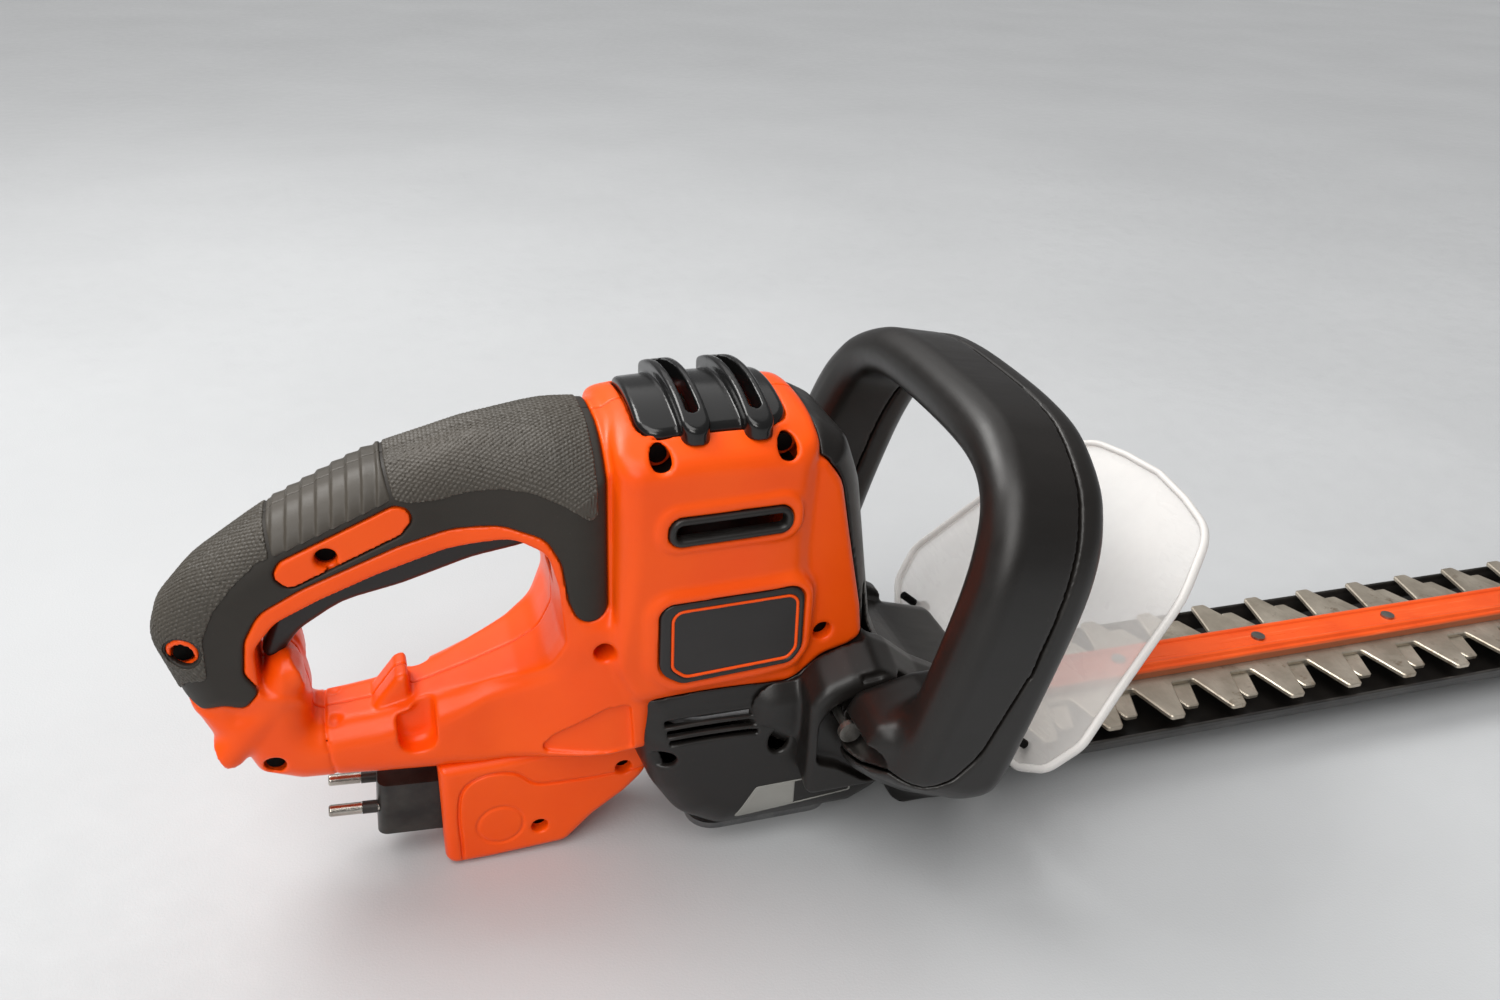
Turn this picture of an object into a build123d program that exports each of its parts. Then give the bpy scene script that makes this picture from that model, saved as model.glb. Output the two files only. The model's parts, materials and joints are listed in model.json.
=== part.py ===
from build123d import *
from math import cos, sin, pi, radians, hypot, atan2, sqrt
import os

# Electric hedge trimmer, 550 mm blade, built in millimetres.
# Drawn about the motor axis (x = 0, y = 0), floor at z = 0, blade pointing to +X, right-hand side at -Y.
# Every node is moved by SHIFT_X when written, so the origin is the middle of the length, on the floor.

# ---- overall layout
REAR_X = -208.0
TIP_X = 702.0
SHIFT_X = -(REAR_X + TIP_X) / 2.0

# ---- blade set
BLADE_T = 2.0
BLADE_TOP = 30.0
BLADE_GAP = 0.2
PITCH = 34.3
LONG_TEETH = 16
FIRST_TOOTH = 158.7
LONG_REACH = 40.0
SHORT_REACH = 32.0
SHORT_OFFSET = 15.0
SPINE_HALF = 17.0
ROOT_HALF = 21.0
HALF_STROKE = 7.0
BOLT_PITCH = 83.0
BOLT_FIRST = 217.0
BOLT_COUNT = 6
BOLT_R = 2.5
BAR_HALF = 11.5
BAR_TOP = 36.6

# ---- gear train
GEAR_X = 30.0
MODULE = 1.0
GEAR_TEETH = 50
PINION_TEETH = 10
ADDENDUM = 0.72
DEDENDUM = 1.05
CAM_R = 8.0
SPINDLE_R = 4.0

# ---- motor
STATOR_R = 28.0
STATOR_BORE = 16.6
CORE_R = 16.0
CORE_Z0 = 118.0
CORE_Z1 = 160.0
SHAFT_R = 4.0

# ---- housing
BODY_HALF = 40.0
GRIP_HALF = 19.5
ARM_HALF = 19.0
WALL = 3.0

# ---- front handle, drawn in a plane that leans forward
BALE_X = 64.7
BALE_Z = 30.0
BALE_LEAN = 16.6
BALE_GAP0 = 8.0
BALE_GAP1 = 11.2
BALE_REAR = -22.0
BALE_FRONT = 22.0
BAIL_X = 46.0
BAIL_Z = 72.0

# ---- guard, drawn in its own leaning plane
GUARD_X = 123.0
GUARD_Z = 30.0
GUARD_LEAN = 40.0
GUARD_T = 2.6

# ---- rear trigger
TRIG_X = -67.0
TRIG_Z = 153.0

# inlet plug pins: bare tip and the slimmer core inside the sleeve and body
PIN_R = 2.4
PIN_CORE_R = 1.8


def corner(prev, here, following):
    px, py, r = here
    ax, ay = prev[0] - px, prev[1] - py
    bx, by = following[0] - px, following[1] - py
    la, lb = hypot(ax, ay), hypot(bx, by)
    ax, ay, bx, by = ax / la, ay / la, bx / lb, by / lb
    half = atan2(abs(ax * by - ay * bx), ax * bx + ay * by) / 2.0
    if r <= 0.0 or half > pi / 2 - 0.01:
        return [(px, py)]
    t = min(r / (sin(half) / cos(half)), 0.49 * la, 0.49 * lb)
    rr = t * sin(half) / cos(half)
    mx, my = ax + bx, ay + by
    lm = hypot(mx, my)
    reach = rr / sin(half) - rr
    start = (px + ax * t, py + ay * t)
    middle = (px + mx / lm * reach, py + my / lm * reach)
    end = (px + bx * t, py + by * t)
    return [start, middle, end]


def shape(points):
    """Closed flat face whose corners are rounded by the third value of each point."""
    full = [p if len(p) == 3 else (p[0], p[1], 0.0) for p in points]
    n = len(full)
    corners = [corner(full[i - 1], full[i], full[(i + 1) % n]) for i in range(n)]
    edges = []
    for i in range(n):
        here = corners[i]
        after = corners[(i + 1) % n]
        if len(here) == 3:
            edges.append(ThreePointArc(here[0], here[1], here[2]))
        gap = hypot(after[0][0] - here[-1][0], after[0][1] - here[-1][1])
        if gap > 1e-6:
            edges.append(Line(here[-1], after[0]))
    return make_face(edges)


def side_slab(points, y0, y1):
    """Outline given as (x, z, radius), solid between y0 and y1."""
    plane = Plane(origin=(0, y1, 0), x_dir=(1, 0, 0), z_dir=(0, -1, 0))
    return extrude(plane * shape(points), amount=y1 - y0, dir=(0, -1, 0))


def top_slab(points, z0, z1):
    """Outline given as (x, y, radius), solid between z0 and z1."""
    return extrude(Plane(origin=(0, 0, z0)) * shape(points), amount=z1 - z0, dir=(0, 0, 1))


def block(x0, x1, y0, y1, z0, z1):
    middle = ((x0 + x1) / 2.0, (y0 + y1) / 2.0, (z0 + z1) / 2.0)
    return Pos(*middle) * Box(x1 - x0, y1 - y0, z1 - z0)


def post(x, y, z0, z1, r):
    return Pos(x, y, (z0 + z1) / 2.0) * Cylinder(r, z1 - z0)


def cross_pin(x, z, y0, y1, r):
    return Pos(x, (y0 + y1) / 2.0, z) * Rot(90, 0, 0) * Cylinder(r, y1 - y0)


def soften_sides(solid, radius):
    faces = solid.faces().sort_by(Axis.Y)
    edges = faces[0].edges() + faces[-1].edges()
    return fillet(edges, radius)


def mirrored(solid):
    return mirror(solid, about=Plane.XZ)


def both(solid):
    return solid + mirrored(solid)


def half(solid, side):
    keep = block(-300, 800, 0, 200, -50, 400) if side > 0 else block(-300, 800, -200, 0, -50, 400)
    return solid & keep


# ---- outlines of the housing, seen from the side, as (x, z, corner radius)
BODY = [(-42, 200, 14), (-42, 92, 12), (-30, 77, 14), (-4, 72, 30), (34, 75, 20), (58, 88, 14),
        (57, 118, 20), (48, 176, 12), (36, 200, 14)]
BODY_IN = [(-39, 197, 11), (-39, 93, 9), (-28, 80, 12), (-4, 76, 28), (33, 79, 18), (54, 90, 12),
           (53, 118, 17), (44, 175, 10), (34, 197, 11)]
GRIP = [(-36, 194, 0), (-66, 198, 60), (-100, 194, 80), (-150, 175, 90), (-190, 149, 40), (-209, 124, 18),
        (-197, 86, 4), (-178, 86, 3), (-176, 106, 5), (-166, 117, 12), (-120, 135.5, 60), (-74, 145, 12),
        (-61, 138, 8), (-59, 118, 3), (-36, 118, 0)]
SOFT = [(-43, 204, 0), (-43, 121, 3), (-52.5, 121, 4), (-54, 142, 9), (-70, 150, 20), (-121, 141, 60),
        (-168, 122, 14), (-181, 108, 8), (-184, 89, 2), (-230, 89, 0), (-230, 204, 0)]
CORE = [(-39, 190, 0), (-66, 194, 58), (-99, 190, 78), (-148, 171.5, 88), (-187, 146.5, 38), (-205, 124, 15),
        (-194, 88, 3), (-181, 88, 2), (-179, 107, 4), (-168, 119, 12), (-121, 138, 60), (-73, 148, 12),
        (-58, 142, 8), (-56, 124, 3), (-39, 124, 0)]
CORE_IN = [(-43, 187, 3), (-66, 190, 56), (-98, 187, 76), (-146, 168, 86), (-184, 144, 36), (-201, 124, 12),
           (-191, 95, 3), (-184, 95, 2), (-182, 108, 4), (-170, 122, 12), (-122, 141, 60), (-72, 151, 12),
           (-53, 146, 6), (-51, 128, 2), (-43, 128, 2)]
ARM = [(-36, 132, 0), (-56, 132, 0), (-61, 116, 12), (-76, 104, 14), (-108, 98, 6), (-116, 92, 3),
       (-120.5, 101.5, 1.2), (-126, 98, 3), (-131, 87, 4), (-150, 86, 4), (-154, 104, 5), (-161, 111, 3.5),
       (-168, 109, 3), (-169, 95, 5), (-178, 90, 3), (-197, 89, 2), (-193, 62, 7), (-165, 52, 10),
       (-112, 47, 4), (-30, 52, 6), (-28, 60, 4), (-32, 80, 4)]
ARM_IN = [(-46, 120, 3), (-56, 112, 10), (-74, 101, 12), (-112, 92, 6), (-118, 84, 4), (-150, 82, 4),
          (-178, 82, 4), (-189, 80, 4), (-187, 66, 5), (-164, 56, 8), (-112, 51, 3), (-46, 55, 3)]
COVER = [(-111, 60, 6), (-111, 0, 6), (-66, 0, 22), (-36, 24, 14), (-27, 44, 10), (-30, 60, 6)]
COVER_IN = [(-112, 43, 1), (-112, 3.5, 3), (-67, 3.5, 20), (-39, 26, 12), (-31, 42, 8), (-34, 48, 3)]


def body_solid():
    return soften_sides(side_slab(BODY, -BODY_HALF, BODY_HALF), 9.0)


def grip_solid():
    return soften_sides(side_slab(GRIP, -GRIP_HALF, GRIP_HALF), 2.5)


def arm_solid():
    rear = soften_sides(side_slab(ARM, -ARM_HALF, ARM_HALF), 2.0)
    shoulder = side_slab([(-36, 118, 0), (-58, 112, 10), (-84, 100, 8), (-100, 86, 8), (-96, 56, 6), (-34, 56, 4),
                          (-34, 92, 0)], -24, 24)
    return rear + soften_sides(shoulder, 6.0)


def lozenge(y0, y1):
    a, b, r = (-157, 145), (-116, 162), 6.5
    lean = atan2(b[1] - a[1], b[0] - a[0])
    middle = ((a[0] + b[0]) / 2.0, (y0 + y1) / 2.0, (a[1] + b[1]) / 2.0)
    length = hypot(b[0] - a[0], b[1] - a[1])
    face = SlotOverall(length, 2 * r)
    plane = Plane(origin=middle, x_dir=(cos(lean), 0, sin(lean)), z_dir=(0, -1, 0))
    return extrude(plane * face, amount=(y1 - y0) / 2.0, both=True)


SCREW_SPOTS = [(-26, 187), (22, 187), (42, 103), (-47, 107), (-143, 152.5), (-195, 118), (-171, 64)]
COVER_SPOTS = [(-73, 14), (-37, 38)]


def screw_holes(spots, deep, y_face):
    holes = cross_pin(spots[0][0], spots[0][1], -y_face - 1, -deep, 3.6)
    for x, z in spots[1:]:
        holes = holes + cross_pin(x, z, -y_face - 1, -deep, 3.6)
    return holes


def screw_group(spots, head_y):
    made = []
    for x, z in spots:
        head = cross_pin(x, z, -head_y, -head_y + 2.4, 3.5)
        shank = cross_pin(x, z, -head_y + 2.4, 8.0, 1.9)
        made.append(head + shank)
    return made


def boss(x, z, half_width, r=5.4):
    return cross_pin(x, z, -half_width, half_width, r)


def motor_rib(z0, z1, r):
    return block(-39, 52, -38, 38, z0, z1) - post(0, 0, z0 - 1, z1 + 1, r)


def vent_window():
    return side_slab([(-24, 151, 6), (-24, 168, 6), (27, 166, 6), (27, 150, 6)], -60, 60)


def badge_pocket(y0, y1):
    return side_slab([(-27, 127, 5), (-27, 96, 5), (31, 96, 5), (31, 130, 5)], y0, y1)


def top_window():
    return top_slab([(-33, -26, 10), (26, -24, 10), (26, 24, 10), (-33, 26, 10)], 188, 212)


def housing_full():
    body = body_solid()
    inner_body = soften_sides(side_slab(BODY_IN, -37, 37), 7.0)
    pocket_wall = both(side_slab([(-30, 130, 6), (-30, 93, 6), (34, 93, 6), (34, 133, 6)], -38, -34))
    ribs = motor_rib(112, 115, 30.5) + motor_rib(163, 166, STATOR_R)
    seat = block(-13, 13, -38, 38, 187, 195) - post(0, 0, 186, 196, 9.5)
    ribs = (ribs + seat) & inner_body
    pocket_wall = pocket_wall & inner_body
    hollow_body = body - inner_body + ribs + pocket_wall
    grip = grip_solid()
    soft_zone = side_slab(SOFT, -30, 30)
    core = side_slab(CORE, -GRIP_HALF + 3.2, GRIP_HALF - 3.2) & grip
    pad = lozenge(-GRIP_HALF + 0.1, GRIP_HALF - 0.1)
    handle = (grip - soft_zone) + core + pad
    handle = handle - body
    core_room = side_slab(CORE_IN, -13.2, 13.2)
    arm = arm_solid() - body - soft_zone
    arm_room = side_slab(ARM_IN, -15.5, 15.5)
    handle = handle - core_room
    arm = arm - arm_room
    wire_gate = block(-47, -37, -12, 12, 84, 116) + block(-47, -37, -11, 11, 150, 180)
    whole = hollow_body + handle + arm - wire_gate
    whole = whole - trigger_room() - block(-76, -58, -8, 8, 30, 62) - post(0, 0, 60, 95, 33)
    whole = whole - vent_window() - top_window()
    whole = whole - badge_pocket(-60, -BODY_HALF + 1.6) - badge_pocket(BODY_HALF - 1.6, 60)
    return whole


def trigger_room():
    slot = side_slab([(-179, 96, 2), (-177, 128, 6), (-122, 151, 40), (-72, 161, 4), (-59, 158, 4), (-60, 143, 0),
                      (-76, 137.5, 0), (-120, 127.5, 20), (-165, 106, 6)], -9.4, 9.4)
    return slot


def bosses_and_holes(whole):
    depth = {(-143, 152.5): 15.0, (-195, 118): 15.0, (-171, 64): 16.0, (-47, 107): 22.0}
    for x, z in SCREW_SPOTS:
        reach = depth.get((x, z), 37.5)
        whole = whole + boss(x, z, reach)
    for x, z in SCREW_SPOTS:
        seat = 14.0 if reach_is_small(x) else 30.0
        whole = whole - cross_pin(x, z, -60, -seat + 2.4, 3.6)
        whole = whole - cross_pin(x, z, -seat - 1, 8.0, 1.95)
    return whole


def reach_is_small(x):
    return x < -40.0


def housing_screws():
    made = []
    for x, z in SCREW_SPOTS:
        seat = 14.0 if reach_is_small(x) else 30.0
        head = cross_pin(x, z, -seat, -seat + 2.4, 3.5)
        shank = cross_pin(x, z, -seat + 2.4, 8.0, 1.95)
        made.append(head + shank)
    return made


def housing_shells():
    whole = bosses_and_holes(housing_full())
    whole = whole + both(cross_pin(TRIG_X, TRIG_Z, 9.6, 13.3, 4.0)) - trigger_pin()
    return half(whole, -1), half(whole, 1)


def soft_grips():
    outer = soften_sides(side_slab(GRIP, -GRIP_HALF, GRIP_HALF), 2.5)
    zone = side_slab(SOFT, -30, 30)
    core = side_slab(CORE, -GRIP_HALF + 3.2, GRIP_HALF - 3.2)
    soft = (outer & zone) - core - body_solid()
    soft = soft - lozenge(-30, 30)
    soft = soft - cross_pin(-195, 118, -30, 0, 5.4)
    return half(soft, -1), half(soft, 1)


def plug_covers():
    outer = soften_sides(side_slab(COVER, -22, 22), 4.0)
    room = side_slab(COVER_IN, -18.5, 18.5)
    whole = outer - room - arm_solid() - body_solid()
    whole = whole - gear_case_outer() - block(-76, -58, -8, 8, 40, 62)
    for x, z in COVER_SPOTS:
        whole = whole + (boss(x, z, 19.0) & outer)
    for x, z in COVER_SPOTS:
        whole = whole - cross_pin(x, z, -60, -13.6, 3.6)
        whole = whole - cross_pin(x, z, -17, 8.0, 1.95)
    return half(whole, -1), half(whole, 1)


def cover_screws():
    made = []
    for x, z in COVER_SPOTS:
        made.append(cross_pin(x, z, -16, -13.6, 3.5) + cross_pin(x, z, -13.6, 8.0, 1.95))
    return made


def inlet_pose(solid):
    return Pos(-136.6, 0, 29.2) * Rot(0, 4.5, 0) * solid


def inlet_body():
    section = [(0, -13, 4), (0, 13, 4), (34, 13, 3), (34, -13, 3)]
    body = extrude(Plane(origin=(0, 0, -12.5)) * shape(section), amount=25.0)
    for y in (-9.5, 9.5):
        body = body - Pos(4, y, 0) * Rot(0, 90, 0) * Cylinder(PIN_CORE_R, 20)
    return inlet_pose(body)


def inlet_pins():
    tip = Pos(-12.6, 0, 0) * Rot(0, 90, 0) * Cylinder(PIN_R, 12.8)
    tip = fillet(tip.edges().sort_by(Axis.X)[0], 1.0)
    pin = tip + Pos(3.9, 0, 0) * Rot(0, 90, 0) * Cylinder(PIN_CORE_R, 20.2)
    tube = Cylinder(PIN_R + 0.2, 6.0) - Cylinder(PIN_CORE_R, 6.0)
    sleeve = Pos(-3.0, 0, 0) * Rot(0, 90, 0) * tube
    pins = [inlet_pose(Pos(0, y, 0) * pin) for y in (-9.5, 9.5)]
    sleeves = [inlet_pose(Pos(0, y, 0) * sleeve) for y in (-9.5, 9.5)]
    return pins, sleeves


def rear_trigger():
    lever = side_slab([(-171, 104, 3), (-172, 113, 2), (-164, 119, 5), (-121, 137, 40), (-74, 149, 4), (-73, 156, 3),
                       (-61, 156, 3), (-61.5, 146, 3), (-76, 139, 4), (-120, 129, 40), (-165, 109, 4)], -8.8, 8.8)
    lever = soften_sides(lever, 1.0)
    finger = block(-106, -101, -3, 3, 138, 152)
    bore = cross_pin(TRIG_X, TRIG_Z, -10, 10, 1.56)
    return lever + finger - bore


def trigger_pin():
    return cross_pin(TRIG_X, TRIG_Z, -14.0, 14.0, 1.5)


def rear_switch():
    case = block(-118, -86, -7, 7, 158, 176)
    button = block(-106, -101, -3, 3, 154.5, 158)
    return case + button


def top_cover():
    rise = top_slab([(-32.9, -25.9, 10), (25.9, -23.9, 10), (25.9, 23.9, 10), (-32.9, 25.9, 10)], 190, 216)
    dome = Pos(0, 0, 121) * Rot(0, 90, 0) * Cylinder(88, 80)
    inner = Pos(0, 0, 118.5) * Rot(0, 90, 0) * Cylinder(88, 80)
    cap = (rise & dome) - inner
    loops = loop_rib(-16) + loop_rib(12)
    whole = cap + loops
    return whole - loop_slot(-16) - loop_slot(12)


def loop_rib(x):
    band = Pos(x, 0, 121) * Rot(0, 90, 0) * Cylinder(93.5, 15)
    under = Pos(x, 0, 118.5) * Rot(0, 90, 0) * Cylinder(88, 16)
    plan = Pos(x, 0, 200) * extrude(SlotOverall(66, 15, rotation=90), amount=20, both=True)
    return (band - under) & plan


def loop_slot(x):
    return Pos(x, 0, 200) * extrude(SlotOverall(52, 5, rotation=90), amount=30, both=True)


def vent_bezels():
    outer = side_slab([(-23.9, 151.1, 6), (-23.9, 167.9, 6), (26.9, 165.9, 6), (26.9, 150.1, 6)], -BODY_HALF - 1.2, -34)
    hole = side_slab([(-20.5, 154.5, 4), (-20.5, 164.5, 4), (23.5, 162.8, 4), (23.5, 153.5, 4)], -50, -30)
    ring = outer - hole
    right = ring + side_slab([(-22, 153, 4), (-22, 166, 4), (25, 164, 4), (25, 152, 4)], -37, -35.6)
    return right, mirrored(right)


def badges():
    right = side_slab([(-26.9, 126.9, 5), (-26.9, 96.1, 5), (30.9, 96.1, 5), (30.9, 129.9, 5)],
                      -BODY_HALF - 1.4, -BODY_HALF + 1.6)
    frame = side_slab([(-24.5, 124.5, 3.5), (-24.5, 98.5, 3.5), (28.5, 98.5, 3.5), (28.5, 127.2, 3.5)],
                      -BODY_HALF - 1.4, -BODY_HALF - 0.4)
    inner = side_slab([(-23.3, 123.3, 3), (-23.3, 99.7, 3), (27.3, 99.7, 3), (27.3, 126, 3)],
                      -BODY_HALF - 1.6, -BODY_HALF - 0.2)
    right = right - (frame - inner)
    return right, mirrored(right)


CASE_PLAN = [(-30, -40, 24), (62, -40, 24), (62, 40, 24), (-30, 40, 24)]


def gear_case_outer():
    tub = top_slab(CASE_PLAN, 3, 96)
    low = tub.faces().sort_by(Axis.Z)[0].edges()
    return fillet(low, 9.0)


def blade_room():
    return block(-9, 128, -24.5, 24.5, 23.0, 37.4)


def gear_case():
    outer = gear_case_outer() - body_solid() - side_slab(BODY_IN, -37, 37)
    outer = outer & (block(-40, 62, -50, 50, 0, 88))
    room = top_slab([(-26.5, -36.5, 20), (58.5, -36.5, 20), (58.5, 36.5, 20), (-26.5, 36.5, 20)], 16, 98)
    floor_hole = top_slab([(6, -20, 6), (54, -20, 6), (54, 20, 6), (6, 20, 6)], 0, 17)
    case = outer - room - floor_hole - blade_room()
    for y in (-32, 32):
        case = case + (post(-20, y, 16, 66, 5) & room) + (post(50, y, 16, 66, 5) & room)
    case = case - arm_solid()
    case = case - vent_slits() - case_recesses()
    return case


def vent_slits():
    upper = side_slab([(-20, 66.5, 1.4), (-20, 69.5, 1.4), (24, 68.5, 1.4), (24, 65.5, 1.4)], -60, -30)
    lower = side_slab([(-20, 60.5, 1.4), (-20, 63.5, 1.4), (24, 62.5, 1.4), (24, 59.5, 1.4)], -60, -30)
    return both(upper + lower)


def case_recesses():
    one = cross_pin(-18, 52, -60, -37.8, 4.5) + cross_pin(26, 52, -60, -37.8, 4.5)
    return both(one)


def gear_case_cover():
    plate = top_slab([(-8, -27, 12), (58, -27, 12), (58, 27, 12), (-8, 27, 12)], 0, 3)
    plug = top_slab([(6.1, -19.9, 6), (53.9, -19.9, 6), (53.9, 19.9, 6), (6.1, 19.9, 6)], 3, 8)
    seat = post(GEAR_X, 0, 8, 16, 11.5)
    return plate + plug + seat - post(GEAR_X, 0, 5, 17, 7.5)


def gear_plate():
    plan = [(-26.4, -36.4, 20), (58.4, -36.4, 20), (58.4, 36.4, 20), (-26.4, 36.4, 20)]
    plate = top_slab(plan, 66, 70.5)
    motor_seat = post(0, 0, 70.5, 92, 14.0)
    whole = plate + motor_seat
    whole = whole - post(0, 0, 60, 83, 8.0) - post(0, 0, 83, 93, 11.0)
    whole = whole - post(GEAR_X, 0, 60, 71, 7.5)
    return whole


def spindle_bushings():
    lower = post(GEAR_X, 0, 5, 16, 7.5) - post(GEAR_X, 0, 6.5, 17, SPINDLE_R + 0.05)
    upper = post(GEAR_X, 0, 61, 70.5, 7.5) - post(GEAR_X, 0, 60, 68.5, SPINDLE_R + 0.05)
    return [lower, upper]


def spindle():
    return post(GEAR_X, 0, 7, 68, SPINDLE_R)


def toothed(teeth, module, z0, z1, phase):
    rp = teeth * module / 2.0
    root, tip = rp - DEDENDUM * module, rp + ADDENDUM * module
    disc = Cylinder(root, z1 - z0)
    w_root, w_tip = 0.86 * module, 0.38 * module
    tooth = extrude(Plane(origin=(0, 0, -(z1 - z0) / 2.0)) * Polygon(
        (root - 0.4, -w_root), (tip, -w_tip), (tip, w_tip), (root - 0.4, w_root), align=None), amount=z1 - z0,
        dir=(0, 0, 1))
    made = disc
    for i in range(teeth):
        made = made + Rot(0, 0, phase + 360.0 * i / teeth) * tooth
    return Pos(0, 0, (z0 + z1) / 2.0) * made


def drive_gear():
    gear = toothed(GEAR_TEETH, MODULE, 46, 56, 180.0)
    hub = Pos(0, 0, 38.15) * Cylinder(6.5, 15.7) + Pos(0, 0, 58) * Cylinder(6.5, 4)
    lightening = Pos(15.5, 0, 51) * Cylinder(4.5, 12)
    for i in range(6):
        gear = gear - Rot(0, 0, 30 + 60 * i) * lightening
    bore = Pos(0, 0, 45) * Cylinder(SPINDLE_R, 60)
    return Pos(GEAR_X, 0, 0) * (gear + hub - bore)


def eccentric(z0, z1, side):
    cam = post(GEAR_X, side * HALF_STROKE, z0, z1, CAM_R)
    hub = post(GEAR_X, 0, z0, z1, 6.0)
    return cam + hub - post(GEAR_X, 0, z0 - 1, z1 + 1, SPINDLE_R)


def pinion():
    teeth = toothed(PINION_TEETH, MODULE, 45, 58, 18.0)
    return teeth - post(0, 0, 40, 60, 2.6)


def armature_shaft():
    return post(0, 0, 44, 82, 2.6) + post(0, 0, 82, 196, SHAFT_R)


def armature_core():
    core = post(0, 0, CORE_Z0, CORE_Z1, CORE_R)
    slot = block(CORE_R - 3.5, CORE_R + 1, -0.9, 0.9, CORE_Z0 - 1, CORE_Z1 + 1)
    for i in range(12):
        core = core - Rot(0, 0, 30 * i) * slot
    return core - post(0, 0, CORE_Z0 - 1, CORE_Z1 + 1, SHAFT_R)


def armature_windings():
    low = post(0, 0, 110.5, CORE_Z0, 14.0) - post(0, 0, 110, CORE_Z0 + 1, SHAFT_R)
    high = post(0, 0, CORE_Z1, 168, 14.0) - post(0, 0, CORE_Z1 - 1, 169, SHAFT_R)
    return [low, high]


def commutator():
    ring = post(0, 0, 170, 183, 9.0) - post(0, 0, 169, 184, SHAFT_R)
    groove = block(8.2, 9.5, -0.25, 0.25, 169, 184)
    for i in range(24):
        ring = ring - Rot(0, 0, 15 * i) * groove
    return ring


def cooling_fan():
    hub = post(0, 0, 95, 107, 8.0)
    disc = post(0, 0, 105, 107, 28.5)
    blade = block(7.5, 28.0, -0.9, 0.9, 96.5, 105)
    fan = hub + disc
    for i in range(11):
        fan = fan + Rot(0, 0, 360.0 * i / 11) * blade
    return fan - post(0, 0, 94, 108, SHAFT_R)


def bearings():
    upper = post(0, 0, 187, 195, 9.5) - post(0, 0, 186, 196, SHAFT_R + 0.04)
    lower = post(0, 0, 83.5, 91, 11.0) - post(0, 0, 83, 92, SHAFT_R + 0.04)
    return upper, lower


def stator_core():
    ring = post(0, 0, CORE_Z0, CORE_Z1, STATOR_R) - post(0, 0, CORE_Z0 - 1, CORE_Z1 + 1, 23.0)
    poles = block(-11, 11, -27, 27, CORE_Z0, CORE_Z1) & post(0, 0, CORE_Z0, CORE_Z1, 27)
    core = ring + poles
    return core - post(0, 0, CORE_Z0 - 1, CORE_Z1 + 1, STATOR_BORE)


def field_coils():
    made = []
    for s in (-1, 1):
        y0, y1 = sorted((s * 17.2, s * 22.6))
        loop = block(-15.5, 15.5, y0, y1, CORE_Z0 - 5, CORE_Z1 + 2.8)
        loop = loop - block(-11, 11, y0 - 1, y1 + 1, CORE_Z0, CORE_Z1)
        loop = loop & post(0, 0, 100, 180, 22.9)
        loop = loop - post(0, 0, 100, 180, STATOR_BORE)
        made.append(loop)
    return made


def brush_set():
    holders, brushes = [], []
    for s in (-1, 1):
        x0, x1 = sorted((s * 12.0, s * 31.0))
        case = block(x0, x1, -4.5, 4.5, 172, 181)
        inner = block(min(x0, x1) - 1, max(x0, x1) + 1, -3.1, 3.1, 173.4, 179.6)
        holders.append(case - inner)
        b0, b1 = sorted((s * 9.15, s * 21.0))
        brushes.append(block(b0, b1, -3.0, 3.0, 173.5, 179.5))
    return holders, brushes


def brush_yoke():
    ring = top_slab([(-33, -18, 5), (33, -18, 5), (33, 18, 5), (-33, 18, 5)], 168.5, 171.8)
    return ring - post(0, 0, 168, 173, 15)


# ---- front housing: cowl in front of the motor and the nose over the blade
COWL = [(30, 197, 3), (40, 197, 10), (52, 184, 16), (60, 150, 30), (66, 112, 14), (80, 92, 14), (122, 66, 6),
        (124, 40, 4), (124, 17, 3), (62.1, 17, 0), (62.1, 60, 0), (50, 75, 0), (30, 75, 0)]


def nose_plan(z0, z1):
    return top_slab([(20, -46, 3), (78, -46, 10), (96, -40, 8), (126, -36, 8), (126, 36, 8), (96, 40, 8), (78, 46, 10),
                     (20, 46, 3)], z0, z1)


def front_housing():
    body, tub = body_solid(), gear_case_outer()
    upper = side_slab(COWL, -36, 36) - side_slab(BODY, -50, 50) - tub
    lower = side_slab([(62.1, 17, 0), (62.1, 96, 0), (70, 104, 8), (82, 92, 12), (121, 67, 5), (124, 40, 3),
                       (124, 17, 3)], -46, 46)
    lower = lower & nose_plan(10, 120)
    cheeks = both(side_slab([(30, 62, 8), (32, 86, 12), (46, 102, 14), (72, 102, 8), (80, 80, 8), (78, 46, 6),
                             (54, 46, 8)], -53, -41))
    whole = upper + lower + cheeks
    inside = side_slab([(64, 170, 0), (64, 104, 4), (78, 88, 8), (112, 66, 4), (116, 41, 3), (66, 41, 0),
                        (66, 90, 0), (60, 110, 0), (54, 170, 0)], -32, 32)
    flanks = both(side_slab([(66, 60, 0), (66, 96, 4), (76, 90, 6), (88, 80, 4), (88, 60, 0)], 33, 43))
    low = both(block(66, 120, 28.5, 34, 42, 62))
    whole = whole - inside - flanks - low - blade_room()
    pocket = both(side_slab([(34, 58, 6), (36, 84, 10), (48, 98, 12), (69, 97, 6), (90, 80, 6), (90, 40, 6),
                             (52, 44, 6)], -60, -47.4))
    whole = whole - pocket
    whole = whole - cross_pin(BAIL_X, BAIL_Z, -60, -40.5, 2.0) - cross_pin(BAIL_X, BAIL_Z, 40.5, 60, 2.0)
    for screw in saddle_screws():
        whole = whole - screw
    return whole


def bale_plane():
    t = radians(BALE_LEAN)
    return Plane(origin=(BALE_X, 0, BALE_Z), x_dir=(0, 1, 0), z_dir=(cos(t), 0, -sin(t)))


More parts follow.
